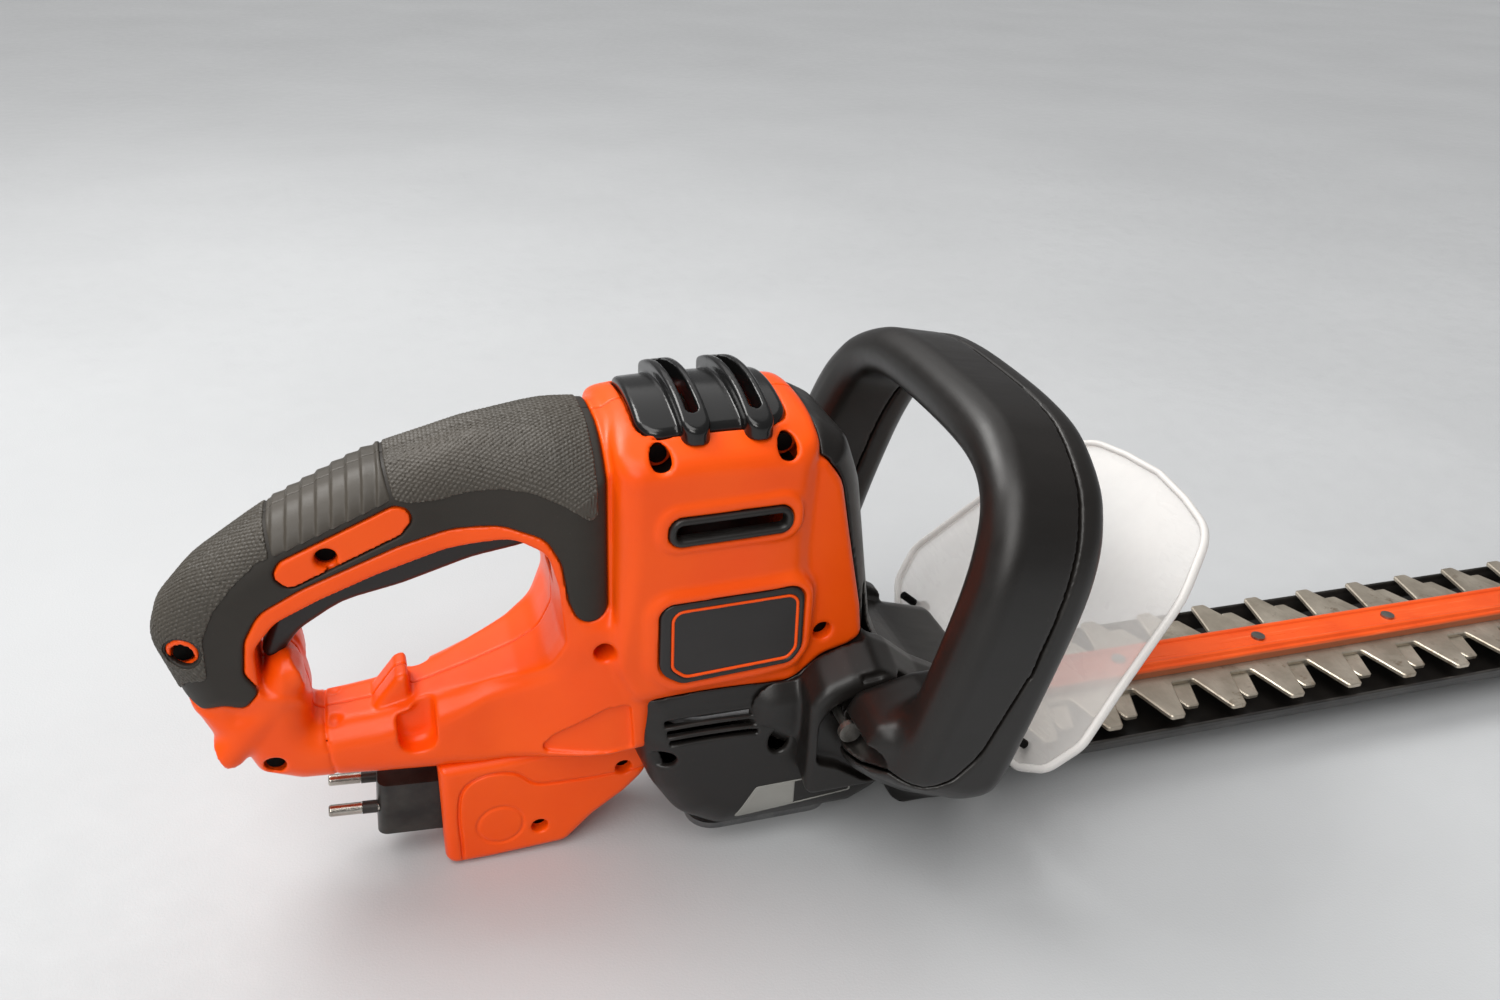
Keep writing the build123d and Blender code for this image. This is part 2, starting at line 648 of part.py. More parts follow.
def bale_ring(n0, n1, foot):
    outer = [(-90, foot, 0), (-97, 140, 60), (-58, 178, 60), (0, 183, 160), (58, 178, 60), (97, 140, 60), (90, foot, 0)]
    inner = [(66, foot - 5, 0), (73, 132, 34), (46, 153, 40), (0, 158, 120), (-46, 153, 40), (-73, 132, 34),
             (-66, foot - 5, 0)]
    flat = shape(outer) - shape(inner)
    plane = bale_plane().offset(n0)
    return extrude(plane * flat, amount=n1 - n0, dir=plane.z_dir)


ROOT = [(36, 62, 8), (37, 82, 8), (50, 95, 12), (66, 93, 8), (90, 82, 6), (94, 62, 6), (86, 47, 6), (58, 50, 8)]
LOBE = [(50, 50, 3), (60, 43.5, 4), (88, 40.5, 8), (98, 56, 6), (103, 64, 2), (114, 60, 4), (124, 38, 10), (125, 14, 8), (112, 2, 8),
        (98, 8, 10), (70, 28, 10)]


def bail_lever():
    ring = bale_ring(BALE_REAR, BALE_GAP0, 22) - bale_core(BALE_REAR + 3.0, BALE_GAP0 + 1)
    keep_out = side_slab([(0, 0, 0), (140, 0, 0), (140, 40, 0), (95, 63, 0), (86, 46.5, 0), (0, 44, 0)], -100, 100)
    ring = ring - keep_out
    roots = both(side_slab(ROOT, -80, -54.2))
    front_room = bale_slab_zone(BALE_GAP0, 60)
    whole = ring + (roots - front_room)
    bore = cross_pin(BAIL_X, BAIL_Z, -66, -40, 2.06) + cross_pin(BAIL_X, BAIL_Z, 40, 66, 2.06)
    head = cross_pin(BAIL_X, BAIL_Z, -90, -60, 5.2) + cross_pin(BAIL_X, BAIL_Z, 60, 90, 5.2)
    return whole - bore - head


def bale_core(n0, n1):
    outer = [(-87, 0, 0), (-94, 139, 58), (-57, 175, 58), (0, 180, 157), (57, 175, 58), (94, 139, 58), (87, 0, 0)]
    inner = [(69, -5, 0), (76, 133, 37), (47, 156, 43), (0, 161, 123), (-47, 156, 43), (-76, 133, 37), (-69, -5, 0)]
    plane = bale_plane().offset(n0)
    return extrude(plane * (shape(outer) - shape(inner)), amount=n1 - n0, dir=plane.z_dir)


def bale_slab_zone(n0, n1):
    plane = bale_plane().offset(n0)
    return extrude(plane * shape([(-120, -60, 0), (120, -60, 0), (120, 220, 0), (-120, 220, 0)]), amount=n1 - n0,
                   dir=plane.z_dir)


def bale_handle():
    ring = bale_ring(BALE_GAP1, BALE_FRONT, 10) - bale_core(BALE_GAP1 - 1, BALE_FRONT - 3.0)
    lobes = both(side_slab(LOBE, -84, -47.2))
    saddle = block(70, 122, -47.2, 47.2, 0, 16.8)
    saddle = saddle & side_slab([(64, 16.8, 0), (122, 16.8, 0), (122, 3, 3), (116, 0, 4), (98, 0, 10), (66, 16.8, 4)], -50, 50)
    bumps = guard_boss(-58) + guard_boss(58)
    whole = ring + lobes + saddle + bumps
    whole = whole - front_of_guard()
    for screw in saddle_screws() + guard_screws():
        whole = whole - screw
    return whole


def guard_plane():
    t = radians(GUARD_LEAN)
    return Plane(origin=(GUARD_X, 0, GUARD_Z), x_dir=(0, 1, 0), z_dir=(cos(t), 0, -sin(t)))


def guard_boss(y):
    spot = guard_plane().offset(-16.0)
    return extrude(spot * Pos(y, 17, 0) * Circle(6.0), amount=16.0, dir=spot.z_dir)


def front_of_guard():
    plane = guard_plane()
    zone = plane * shape([(-120, -60, 0), (120, -60, 0), (120, 220, 0), (-120, 220, 0)])
    return extrude(zone, amount=80.0, dir=plane.z_dir)


def guard():
    outline = [(-48, 7, 10), (-70, 11, 18), (-84.5, 36, 20), (-74, 80, 60), (-62, 118, 26), (-44, 143, 26), (0, 149, 120),
               (44, 143, 26), (62, 118, 26), (74, 80, 60), (84.5, 36, 20), (70, 11, 18), (48, 7, 10)]
    flat = shape(outline)
    notch = Pos(0, 0, 0) * Rectangle(30, 32)
    plate = extrude(guard_plane() * (flat - notch), amount=GUARD_T, dir=guard_plane().z_dir)
    inner = [(-46, 10.3, 9), (-68, 14.3, 16), (-81, 36, 18), (-71, 79, 58), (-59, 116, 24), (-42, 139.5, 24), (0, 145.5, 118),
             (42, 139.5, 24), (59, 116, 24), (71, 79, 58), (81, 36, 18), (68, 14.3, 16), (46, 10.3, 9)]
    rim = extrude(guard_plane().offset(GUARD_T) * (flat - shape(inner) - notch), amount=2.2, dir=guard_plane().z_dir)
    holes = [extrude(guard_plane().offset(-1) * Pos(y, 17, 0) * Circle(2.0), amount=8, dir=guard_plane().z_dir) for y in (-58, 58)]
    return plate + rim - holes[0] - holes[1]


def guard_screws():
    made = []
    for y in (-58, 58):
        along = guard_plane().z_dir
        shank = extrude(guard_plane().offset(-12) * Pos(y, 17, 0) * Circle(2.0), amount=12 + GUARD_T, dir=along)
        head = extrude(guard_plane().offset(GUARD_T) * Pos(y, 17, 0) * Circle(4.0), amount=2.0, dir=along)
        made.append(shank + head)
    return made


def bail_screws():
    made = []
    for s in (-1, 1):
        a, b = sorted((s * 41.0, s * 60.2))
        c, d = sorted((s * 60.2, s * 62.8))
        made.append(cross_pin(BAIL_X, BAIL_Z, a, b, 2.0) + cross_pin(BAIL_X, BAIL_Z, c, d, 4.6))
    return made


def saddle_screws():
    made = []
    for x in (90, 112):
        for y in (-31, 31):
            made.append(post(x, y, 2.2, 24, 1.9) + post(x, y, 2.2, 4.6, 3.6))
    return made


def tooth_solid(x, reach, z0):
    waist = SPINE_HALF + 0.5 * (reach - SPINE_HALF)
    base, mid, tip = 10.5, 6.5, 3.4
    points = [(x - base, SPINE_HALF - 1), (x + base, SPINE_HALF - 1), (x + mid, waist), (x + tip, reach),
              (x - tip, reach), (x - mid, waist)]
    tooth = top_slab(points, z0, z0 + BLADE_T)
    return tooth + mirrored(tooth)


def blade(reach, offset, count, tip_x, z0):
    plate = top_slab([(1, -ROOT_HALF, 6), (126, -ROOT_HALF, 3), (134, -SPINE_HALF, 3), (tip_x - 10, -SPINE_HALF, 8),
                      (tip_x, -8, 6), (tip_x, 8, 6), (tip_x - 10, SPINE_HALF, 8), (134, SPINE_HALF, 3),
                      (126, ROOT_HALF, 3), (1, ROOT_HALF, 6)], z0, z0 + BLADE_T)
    for i in range(count):
        plate = plate + tooth_solid(FIRST_TOOTH + offset + i * PITCH, reach, z0)
    yoke = top_slab([(GEAR_X - 22.6, -15.4, 4), (GEAR_X + 22.6, -15.4, 4), (GEAR_X + 22.6, 15.4, 4),
                     (GEAR_X - 22.6, 15.4, 4)], z0 - 1, z0 + BLADE_T + 1)
    plate = plate - yoke
    for i in range(BOLT_COUNT):
        slot = Pos(BOLT_FIRST + i * BOLT_PITCH, 0, z0 + 1) * extrude(SlotOverall(21.0, 6.0), amount=3, both=True)
        plate = plate - slot
    return plate


def upper_blade():
    return blade(LONG_REACH, 0.0, LONG_TEETH, 688.0, BLADE_TOP - BLADE_T)


def lower_blade():
    return blade(SHORT_REACH, SHORT_OFFSET, LONG_TEETH - 1, 686.0, BLADE_TOP - 2 * BLADE_T - BLADE_GAP)


def support_bar():
    profile = Polygon((-BAR_HALF, 0), (BAR_HALF, 0), (BAR_HALF, 4.2), (8.6, 6.4), (5.0, 6.4), (4.0, 5.0), (-4.0, 5.0),
                      (-5.0, 6.4), (-8.6, 6.4), (-BAR_HALF, 4.2), align=None)
    plane = Plane(origin=(68, 0, BLADE_TOP + BLADE_GAP), x_dir=(0, 1, 0), z_dir=(1, 0, 0))
    bar = extrude(plane * profile, amount=600, dir=(1, 0, 0))
    for i in range(BOLT_COUNT):
        bar = bar - post(BOLT_FIRST + i * BOLT_PITCH, 0, 25, 45, BOLT_R)
    return bar


def blade_bolts():
    made = []
    for i in range(BOLT_COUNT):
        x = BOLT_FIRST + i * BOLT_PITCH
        head = post(x, 0, 22.8, 25.4, 4.6)
        shank = post(x, 0, 25.4, 35.2, BOLT_R)
        cap = post(x, 0, 35.2, 36.4, 3.4)
        made.append(head + shank + cap)
    return made


def blade_sheath():
    plan_out = [(132, -43.5, 3), (TIP_X - 12, -43.5, 14), (TIP_X, -24, 12), (TIP_X, 24, 12), (TIP_X - 12, 43.5, 14),
                (132, 43.5, 3)]
    plan_in = [(120, -41.6, 0), (TIP_X - 14, -41.6, 13), (TIP_X - 2, -22.5, 11), (TIP_X - 2, 22.5, 11),
               (TIP_X - 14, 41.6, 13), (120, 41.6, 0)]
    tray = top_slab(plan_out, 15.0, 33.5) - top_slab(plan_in, 17.0, 60)
    rim_cut = block(100, TIP_X + 10, -60, 60, 33.5, 60)
    tray = tray - rim_cut
    foot = top_slab([(TIP_X - 60, -20, 6), (TIP_X - 4, -20, 8), (TIP_X - 4, 20, 8), (TIP_X - 60, 20, 6)], 0.0, 15.0)
    room = top_slab([(TIP_X - 57.5, -17.5, 5), (TIP_X - 6.5, -17.5, 6), (TIP_X - 6.5, 17.5, 6), (TIP_X - 57.5, 17.5, 5)],
                    -1, 13.0)
    hole = post(TIP_X - 30, 0, -5, 40, 5.0)
    return tray + foot - room - hole


def side_labels():
    right = side_slab([(7, 10, 1), (14, 24.5, 3), (53, 24.5, 3), (58, 13, 1)], -40.6, -40.0)
    return right, mirrored(right)


def front_switch():
    return block(70, 92, -8, 8, 46, 60)


def supply_wires():
    made = []
    for y in (-4.5, 4.5):
        path = Spline((-101.5, y, 30), (-80, y, 34), (-58, y, 66), (-44, y, 96), (-33, y, 104))
        ring = Plane(origin=path @ 0, z_dir=path % 0) * Circle(1.3)
        made.append(sweep(ring, path=path))
    return made


def write(name, items):
    pieces = items if isinstance(items, (list, tuple)) else [items]
    moved = []
    for piece in pieces:
        for solid in piece.solids():
            moved.append(Pos(SHIFT_X, 0, 0) * solid)
    body = moved[0] if len(moved) == 1 else Compound(children=moved)
    body.label = name
    export_step(body, "parts/" + name + ".step")
    print(name, len(moved), round(sum(s.volume for s in moved)))


def main():
    os.makedirs("parts", exist_ok=True)
    right_shell, left_shell = housing_shells()
    write("right_housing_shell", right_shell)
    write("left_housing_shell", left_shell)
    right_soft, left_soft = soft_grips()
    write("right_soft_grip", right_soft)
    write("left_soft_grip", left_soft)
    right_cover, left_cover = plug_covers()
    write("right_plug_cover", right_cover)
    write("left_plug_cover", left_cover)
    write("housing_screws", housing_screws())
    write("plug_cover_screws", cover_screws())
    write("inlet_plug_body", inlet_body())
    pins, sleeves = inlet_pins()
    write("inlet_pins", pins)
    write("inlet_pin_sleeves", sleeves)
    write("rear_trigger", rear_trigger())
    write("trigger_pivot_pin", trigger_pin())
    write("rear_switch", rear_switch())
    write("supply_wires", supply_wires())
    write("top_vent_cover", top_cover())
    right_bezel, left_bezel = vent_bezels()
    write("right_vent_bezel", right_bezel)
    write("left_vent_bezel", left_bezel)
    right_badge, left_badge = badges()
    write("right_badge_plate", right_badge)
    write("left_badge_plate", left_badge)
    write("gear_case", gear_case())
    write("gear_case_cover", gear_case_cover())
    write("gear_plate", gear_plate())
    write("spindle_bushings", spindle_bushings())
    write("gear_spindle", spindle())
    write("drive_gear", drive_gear())
    z_low = BLADE_TOP - 2 * BLADE_T - BLADE_GAP
    write("upper_eccentric", eccentric(BLADE_TOP - BLADE_T + 0.1, BLADE_TOP - 0.1, 1))
    write("lower_eccentric", eccentric(z_low + 0.1, z_low + BLADE_T - 0.1, -1))
    write("pinion", pinion())
    write("armature_shaft", armature_shaft())
    write("armature_core", armature_core())
    write("armature_windings", armature_windings())
    write("commutator", commutator())
    write("cooling_fan", cooling_fan())
    upper_bearing, lower_bearing = bearings()
    write("upper_motor_bearing", upper_bearing)
    write("lower_motor_bearing", lower_bearing)
    write("stator_core", stator_core())
    write("field_coils", field_coils())
    holders, brushes = brush_set()
    write("brush_holders", holders)
    write("carbon_brushes", brushes)
    write("brush_yoke", brush_yoke())
    write("front_housing", front_housing())
    write("front_switch", front_switch())
    write("bale_handle", bale_handle())
    write("bail_switch_lever", bail_lever())
    write("bail_pivot_screws", bail_screws())
    write("saddle_screws", saddle_screws())
    write("hand_guard", guard())
    write("guard_screws", guard_screws())
    write("upper_blade", upper_blade())
    write("lower_blade", lower_blade())
    write("support_bar", support_bar())
    write("blade_bolts", blade_bolts())
    write("blade_sheath", blade_sheath())
    right_label, left_label = side_labels()
    write("right_side_label", right_label)
    write("left_side_label", left_label)


main()
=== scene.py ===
import json
from math import cos, pi, radians, sin

import bmesh
import bpy
import numpy as np
from mathutils import Matrix, Vector


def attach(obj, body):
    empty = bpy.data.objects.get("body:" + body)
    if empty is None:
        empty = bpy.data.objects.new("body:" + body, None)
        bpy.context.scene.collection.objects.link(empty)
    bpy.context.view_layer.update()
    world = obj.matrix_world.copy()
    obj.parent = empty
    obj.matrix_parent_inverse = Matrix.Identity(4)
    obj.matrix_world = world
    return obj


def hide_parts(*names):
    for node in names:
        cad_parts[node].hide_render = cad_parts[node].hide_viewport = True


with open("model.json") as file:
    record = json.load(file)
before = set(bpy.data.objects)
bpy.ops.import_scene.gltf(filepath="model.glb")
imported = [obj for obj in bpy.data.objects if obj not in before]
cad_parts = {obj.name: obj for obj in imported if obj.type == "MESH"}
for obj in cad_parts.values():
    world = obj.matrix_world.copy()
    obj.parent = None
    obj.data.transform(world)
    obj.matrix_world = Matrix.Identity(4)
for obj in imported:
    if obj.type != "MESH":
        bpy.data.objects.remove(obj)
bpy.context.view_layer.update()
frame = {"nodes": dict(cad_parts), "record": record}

MM = 0.001
SHIFT_X = -247.0


# ---------------------------------------------------------------- camera, light, floor

CAMERA_PLACE = (-0.367, -0.412, 0.3766)
CAMERA_TURN, CAMERA_TIP, CAMERA_ROLL = radians(-18.8), radians(27.77), radians(2.9)
LENS_LENGTH = 29.06
FLOOR_REACH = 14.0


def put_in_scene(name, data):
    obj = bpy.data.objects.new(name, data)
    bpy.context.scene.collection.objects.link(obj)
    return obj


def make_camera():
    data = bpy.data.cameras.new("view_camera")
    data.sensor_width = 36.0
    data.lens = LENS_LENGTH
    data.clip_start = 0.01
    data.clip_end = 100.0
    camera = put_in_scene("view_camera", data)
    turn, tip, roll = CAMERA_TURN, CAMERA_TIP, CAMERA_ROLL
    forward = Vector((-sin(turn) * cos(tip), cos(turn) * cos(tip), -sin(tip)))
    right = Vector((cos(turn), sin(turn), 0.0))
    up = right.cross(forward)
    right_rolled = cos(roll) * right + sin(roll) * up
    up_rolled = -sin(roll) * right + cos(roll) * up
    matrix = Matrix((right_rolled, up_rolled, -forward)).transposed().to_4x4()
    matrix.translation = Vector(CAMERA_PLACE)
    camera.matrix_world = matrix
    bpy.context.scene.camera = camera


def lamp(name, kind, heading, watts, tint):
    data = bpy.data.lights.new(name, kind)
    data.energy = watts
    data.color = tint
    obj = put_in_scene(name, data)
    obj.rotation_mode = "QUATERNION"
    obj.rotation_quaternion = heading.to_track_quat("-Z", "Y")
    return obj


def area_light(name, place, target, size, watts, tint):
    obj = lamp(name, "AREA", Vector(target) - Vector(place), watts, tint)
    obj.location = place
    obj.data.shape = "RECTANGLE"
    obj.data.size, obj.data.size_y = size


def sun_light(name, heading, watts, spread, tint):
    lamp(name, "SUN", Vector(heading), watts, tint).data.angle = radians(spread)


def make_studio():
    sun_light("soft_sky_left", (0.40, 0.45, -1.0), 1.65, 45.0, (1.0, 0.99, 0.97))
    sun_light("soft_sky_back", (0.1, -0.6, -1.0), 0.75, 70.0, (1.0, 0.99, 0.98))
    area_light("soft_key", (-0.9, 0.55, 1.3), (-0.15, 0.0, 0.1), (0.9, 0.6), 15.0, (1.0, 0.99, 0.97))
    area_light("soft_front", (-1.0, -1.4, 1.0), (-0.1, 0.0, 0.1), (0.8, 0.5), 8.0, (1.0, 0.98, 0.95))
    world = bpy.data.worlds.new("studio_air")
    world.use_nodes = True
    sky = world.node_tree.nodes["Background"]
    sky.inputs["Color"].default_value = (0.86, 0.86, 0.87, 1.0)
    sky.inputs["Strength"].default_value = 0.26
    bpy.context.scene.world = world
    bpy.context.scene.view_settings.view_transform = "Standard"
    mesh = bpy.data.meshes.new("studio_floor")
    reach = FLOOR_REACH
    mesh.from_pydata([(-reach, -reach, 0), (reach, -reach, 0), (reach, reach, 0), (-reach, reach, 0)], [],
                     [(0, 1, 2, 3)])
    floor = put_in_scene("studio_floor", mesh)
    mesh.materials.append(floor_finish())


# ---------------------------------------------------------------- finishes

def srgb(r, g, b):
    """The linear colour of an 8-bit display colour."""
    def one(c):
        c = c / 255.0
        return c / 12.92 if c <= 0.04045 else ((c + 0.055) / 1.055) ** 2.4
    return (one(r), one(g), one(b), 1.0)


class Finish:
    """A material with one Principled shader, and short names for the nodes that feed it."""

    def __init__(self, name, colour, roughness=0.5, metallic=0.0, **sockets):
        self.material = bpy.data.materials.new(name)
        self.material.use_nodes = True
        self.tree = self.material.node_tree
        self.shader = self.tree.nodes["Principled BSDF"]
        self.set("Base Color", colour)
        self.set("Roughness", roughness)
        self.set("Metallic", metallic)
        for socket, value in sockets.items():
            self.set(socket.replace("_", " "), value)
        self.place = self.node("ShaderNodeTexCoord").outputs["Object"]
        self.normal = None

    def node(self, kind, **fields):
        made = self.tree.nodes.new(kind)
        for field, value in fields.items():
            setattr(made, field, value)
        return made

    def set(self, socket, value):
        self.feed(self.shader, socket, value)

    def feed(self, node, socket, value):
        if isinstance(value, bpy.types.NodeSocket):
            self.tree.links.new(value, node.inputs[socket])
        else:
            node.inputs[socket].default_value = value

    def stretched(self, scale, turn=(0.0, 0.0, 0.0)):
        mapping = self.node("ShaderNodeMapping")
        self.feed(mapping, "Vector", self.place)
        mapping.inputs["Scale"].default_value = scale
        mapping.inputs["Rotation"].default_value = turn
        return mapping.outputs["Vector"]

    def noise(self, scale, detail=3.0, rough=0.55, place=None):
        made = self.node("ShaderNodeTexNoise")
        self.feed(made, "Vector", place or self.place)
        self.feed(made, "Scale", scale)
        self.feed(made, "Detail", detail)
        self.feed(made, "Roughness", rough)
        return made.outputs["Fac"]

    def ramp(self, value, low, high, out_low=0.0, out_high=1.0):
        made = self.node("ShaderNodeMapRange", clamp=True)
        self.feed(made, "Value", value)
        for socket, number in (("From Min", low), ("From Max", high), ("To Min", out_low), ("To Max", out_high)):
            self.feed(made, socket, number)
        return made.outputs["Result"]

    def sum(self, a, b, how="ADD"):
        made = self.node("ShaderNodeMath", operation=how)
        self.feed(made, 0, a)
        self.feed(made, 1, b)
        return made.outputs[0]

    def blend(self, share, a, b):
        made = self.node("ShaderNodeMix", data_type="RGBA")
        self.feed(made, 0, share)
        self.feed(made, 6, a)
        self.feed(made, 7, b)
        return made.outputs[2]

    def bump(self, height, depth, strength=1.0):
        made = self.node("ShaderNodeBump")
        self.feed(made, "Height", height)
        made.inputs["Distance"].default_value = depth
        made.inputs["Strength"].default_value = strength
        if self.normal is not None:
            self.feed(made, "Normal", self.normal)
        self.normal = made.outputs["Normal"]
        self.set("Normal", self.normal)

    def axis(self, name):
        made = self.node("ShaderNodeSeparateXYZ")
        self.feed(made, 0, self.place)
        return made.outputs[name]


def floor_finish():
    f = Finish("studio_floor_matt", srgb(196, 198, 200), 0.7)
    tone = f.ramp(f.noise(3.0, 4.0), 0.3, 0.7)
    f.set("Base Color", f.blend(tone, srgb(184, 186, 188), srgb(191, 193, 195)))
    f.set("Roughness", f.ramp(f.noise(60.0), 0.3, 0.7, 0.5, 0.72))
    f.bump(f.noise(900.0, 2.0), 0.0004, 0.25)
    return f.material


def moulded(name, tones, roughness, grain=2600.0, depth=0.00008, dust=0.0, wear=0.0, **sockets):
    """A moulded plastic: spark-eroded grain, cloudy colour, handling marks, dust in the grain and rubbed edges.

    The tones are its plain, light and dark display colours."""
    colour, light, dark = (srgb(*tone) for tone in tones)
    f = Finish(name, colour, roughness, **sockets)
    cloud = f.ramp(f.noise(22.0, 5.0), 0.25, 0.75)
    tone = f.blend(cloud, dark, light)
    specks = f.ramp(f.noise(650.0, 4.0, 0.7), 0.64, 0.78)
    patch = f.ramp(f.noise(16.0, 3.0), 0.40, 0.75, 0.25, 1.0)
    powder = f.sum(f.sum(specks, patch, "MULTIPLY"), dust, "MULTIPLY")
    tone = f.blend(powder, tone, srgb(150, 144, 134))
    if wear:
        edge = f.node("ShaderNodeNewGeometry").outputs["Pointiness"]
        rub = f.sum(f.ramp(edge, 0.52, 0.60), f.ramp(f.noise(70.0, 4.0), 0.40, 0.62), "MULTIPLY")
        tone = f.blend(f.sum(rub, wear, "MULTIPLY"), tone, srgb(120, 115, 107))
    f.set("Base Color", tone)
    marks = f.noise(1.0, 6.0, 0.65, f.stretched((35.0, 160.0, 90.0), (0.3, 0.2, 0.5)))
    uneven = f.sum(f.ramp(marks, 0.35, 0.7, -0.04, 0.05), f.ramp(cloud, 0.0, 1.0, -0.02, 0.02))
    f.set("Roughness", f.sum(uneven, roughness))
    f.bump(f.noise(grain, 3.0, 0.6), depth, 0.5)
    f.bump(f.noise(75.0, 2.0), 0.0005, 0.03)
    return f.material


def metal(name, bright, dull, roughness, along, lines, stain=None, metallic=1.0):
    """A worked metal: fine lines across the axis that along stretches, cloudy tone and stains."""
    bright, dull = srgb(*bright), srgb(*dull)
    f = Finish(name, bright, roughness, metallic)
    scratch = f.noise(lines, 4.0, 0.7, f.stretched(along))
    cloud = f.ramp(f.noise(45.0, 5.0, 0.6), 0.35, 0.68)
    tone = f.blend(cloud, dull, bright)
    tone = f.blend(f.ramp(scratch, 0.45, 0.72, 0.0, 0.35), tone, dull)
    if stain:
        spots = f.sum(f.ramp(f.noise(120.0, 5.0, 0.7), 0.56, 0.70), f.ramp(f.noise(17.0), 0.42, 0.62), "MULTIPLY")
        tone = f.blend(spots, tone, srgb(*stain))
    f.set("Base Color", tone)
    f.set("Roughness", f.sum(f.ramp(scratch, 0.3, 0.7, -0.07, 0.13), roughness))
    f.bump(scratch, 0.00012, 0.35)
    f.bump(f.noise(160.0, 3.0), 0.0003, 0.08)
    return f.material


def painted_bar():
    """Orange enamel on the bar's top, a darker copper brown down its sides, with scuffs between."""
    f = Finish("orange_bar_enamel", srgb(232, 84, 22), 0.3, Specular_IOR_Level=0.45)
    cloud = f.ramp(f.noise(26.0, 5.0), 0.3, 0.7)
    tone = f.blend(cloud, srgb(222, 74, 16), srgb(240, 92, 28))
    scuff = f.noise(1.0, 6.0, 0.7, f.stretched((14.0, 420.0, 420.0)))
    tone = f.blend(f.ramp(scuff, 0.58, 0.74, 0.0, 0.5), tone, srgb(250, 150, 96))
    # Below the top the colour turns a darker copper brown down the bar's sides.
    height = f.sum(f.axis("Z"), f.sum(f.ramp(scuff, 0.3, 0.7, -0.5, 0.5), 0.0012, "MULTIPLY"))
    tone = f.blend(f.ramp(height, 0.0334, 0.0346, 1.0, 0.0), tone, srgb(150, 84, 54))
    f.set("Base Color", tone)
    f.set("Roughness", f.ramp(scuff, 0.3, 0.7, 0.24, 0.42))
    f.bump(scuff, 0.00008, 0.3)
    f.bump(f.noise(1500.0, 2.0), 0.00004, 0.3)
    return f.material


def guard_finish(name, thin, thick):
    """A milky plastic, cloudy and see-through in part, with fine hair scratches in its shine."""
    f = Finish(name, srgb(238, 235, 232), 0.3, Specular_IOR_Level=0.5)
    f.set("Alpha", f.ramp(f.noise(24.0, 4.0), 0.3, 0.7, thin, thick))
    hair = f.noise(1.0, 3.0, 0.6, f.stretched((300.0, 40.0, 30.0), (0.4, 0.9, 0.2)))
    f.set("Roughness", f.sum(f.ramp(hair, 0.5, 0.75, 0.0, 0.10), f.ramp(f.noise(9.0), 0.3, 0.7, 0.24, 0.34)))
    f.bump(f.noise(900.0, 2.0), 0.00001, 0.1)
    return f.material


FINISHES = {
    "orange_plastic": moulded("orange_moulded", ((250, 84, 4), (253, 90, 8), (246, 78, 2)), 0.34, dust=0.03,
                              Specular_IOR_Level=0.32),
    "soft_grip_rubber": moulded("warm_grey_rubber", ((40, 36, 30), (44, 39, 33), (35, 31, 26)), 0.55,
                                3200.0, 0.00012, 0.10, Specular_IOR_Level=0.4),
    # knurl: a lighter copy of the grip rubber, painted light for the top light on the knurled and ribbed panels; it
    # also has dust and rubbed edges.
    "knurl": moulded("painted_lit_worn_knurl_rubber", ((64, 59, 51), (70, 64, 56), (57, 53, 46)), 0.5, 3200.0, 0.00010,
                     0.2, 0.5, Specular_IOR_Level=0.5),
    "black_plastic": moulded("black_moulded", ((24, 21, 19), (27, 24, 22), (20, 18, 16)), 0.38,
                             2400.0, 0.00008, 0.16, 0.12, Specular_IOR_Level=0.5),
    "gloss_black_plastic": moulded("gloss_black_moulded", ((17, 17, 17), (20, 20, 20), (14, 14, 14)), 0.22,
                                   1800.0, 0.00003, 0.05),
    "badge_grey": moulded("badge_charcoal", ((34, 31, 30), (38, 35, 34), (29, 27, 26)), 0.4, dust=0.08),
    "label_grey": moulded("label_silver", ((140, 139, 134), (148, 147, 142), (128, 127, 122)), 0.4),
    "clear_guard": guard_finish("milky_clear_guard", 0.36, 0.46),
    "guard_rim": guard_finish("milky_guard_rim", 0.72, 0.82),
    # black_screw: near black, painted shade for screws deep in their holes.
    "black_screw": metal("screws_painted_hole_shade", (26, 25, 24), (16, 16, 16), 0.55, (1, 1, 1), 700.0),
    "screw_steel": metal("dull_screw_steel", (172, 168, 162), (120, 117, 113), 0.4, (1, 1, 1), 700.0),
    "pin_nickel": metal("bright_nickel", (206, 200, 190), (160, 154, 146), 0.2, (1.0, 6.0, 6.0), 500.0),
    "blade_steel": metal("ground_blade_steel", (214, 204, 188), (172, 162, 146), 0.36, (9.0, 0.6, 1.0), 260.0,
                         (128, 106, 82), metallic=0.8),
    "orange_bar_paint": painted_bar(),
    "gear_metal": metal("oiled_gear_steel", (150, 148, 144), (98, 96, 92), 0.3, (1, 1, 6.0), 600.0, (88, 70, 44)),
    "cast_aluminium": metal("cast_aluminium", (168, 168, 168), (128, 128, 129), 0.5, (1, 1, 1), 1200.0),
    "lamination_steel": metal("stacked_laminations", (112, 110, 108), (70, 69, 68), 0.42, (0.2, 0.2, 14.0), 160.0),
    "copper": metal("enamelled_copper", (188, 98, 52), (140, 66, 34), 0.28, (0.3, 0.3, 12.0), 120.0),
    "carbon": moulded("pressed_carbon", ((38, 38, 40), (46, 46, 48), (30, 30, 32)), 0.55, 1800.0, 0.0001),
    "wire_insulation": moulded("wire_insulation", ((30, 44, 90), (36, 50, 98), (24, 36, 80)), 0.4),
}
SLOT_OF = {part["node"]: part["material_slot"] for part in frame["record"]["subparts"]}


def dress(obj, slot):
    """Give a piece another look than its slot's usual one."""
    obj.data.materials.clear()
    obj.data.materials.append(FINISHES[slot])


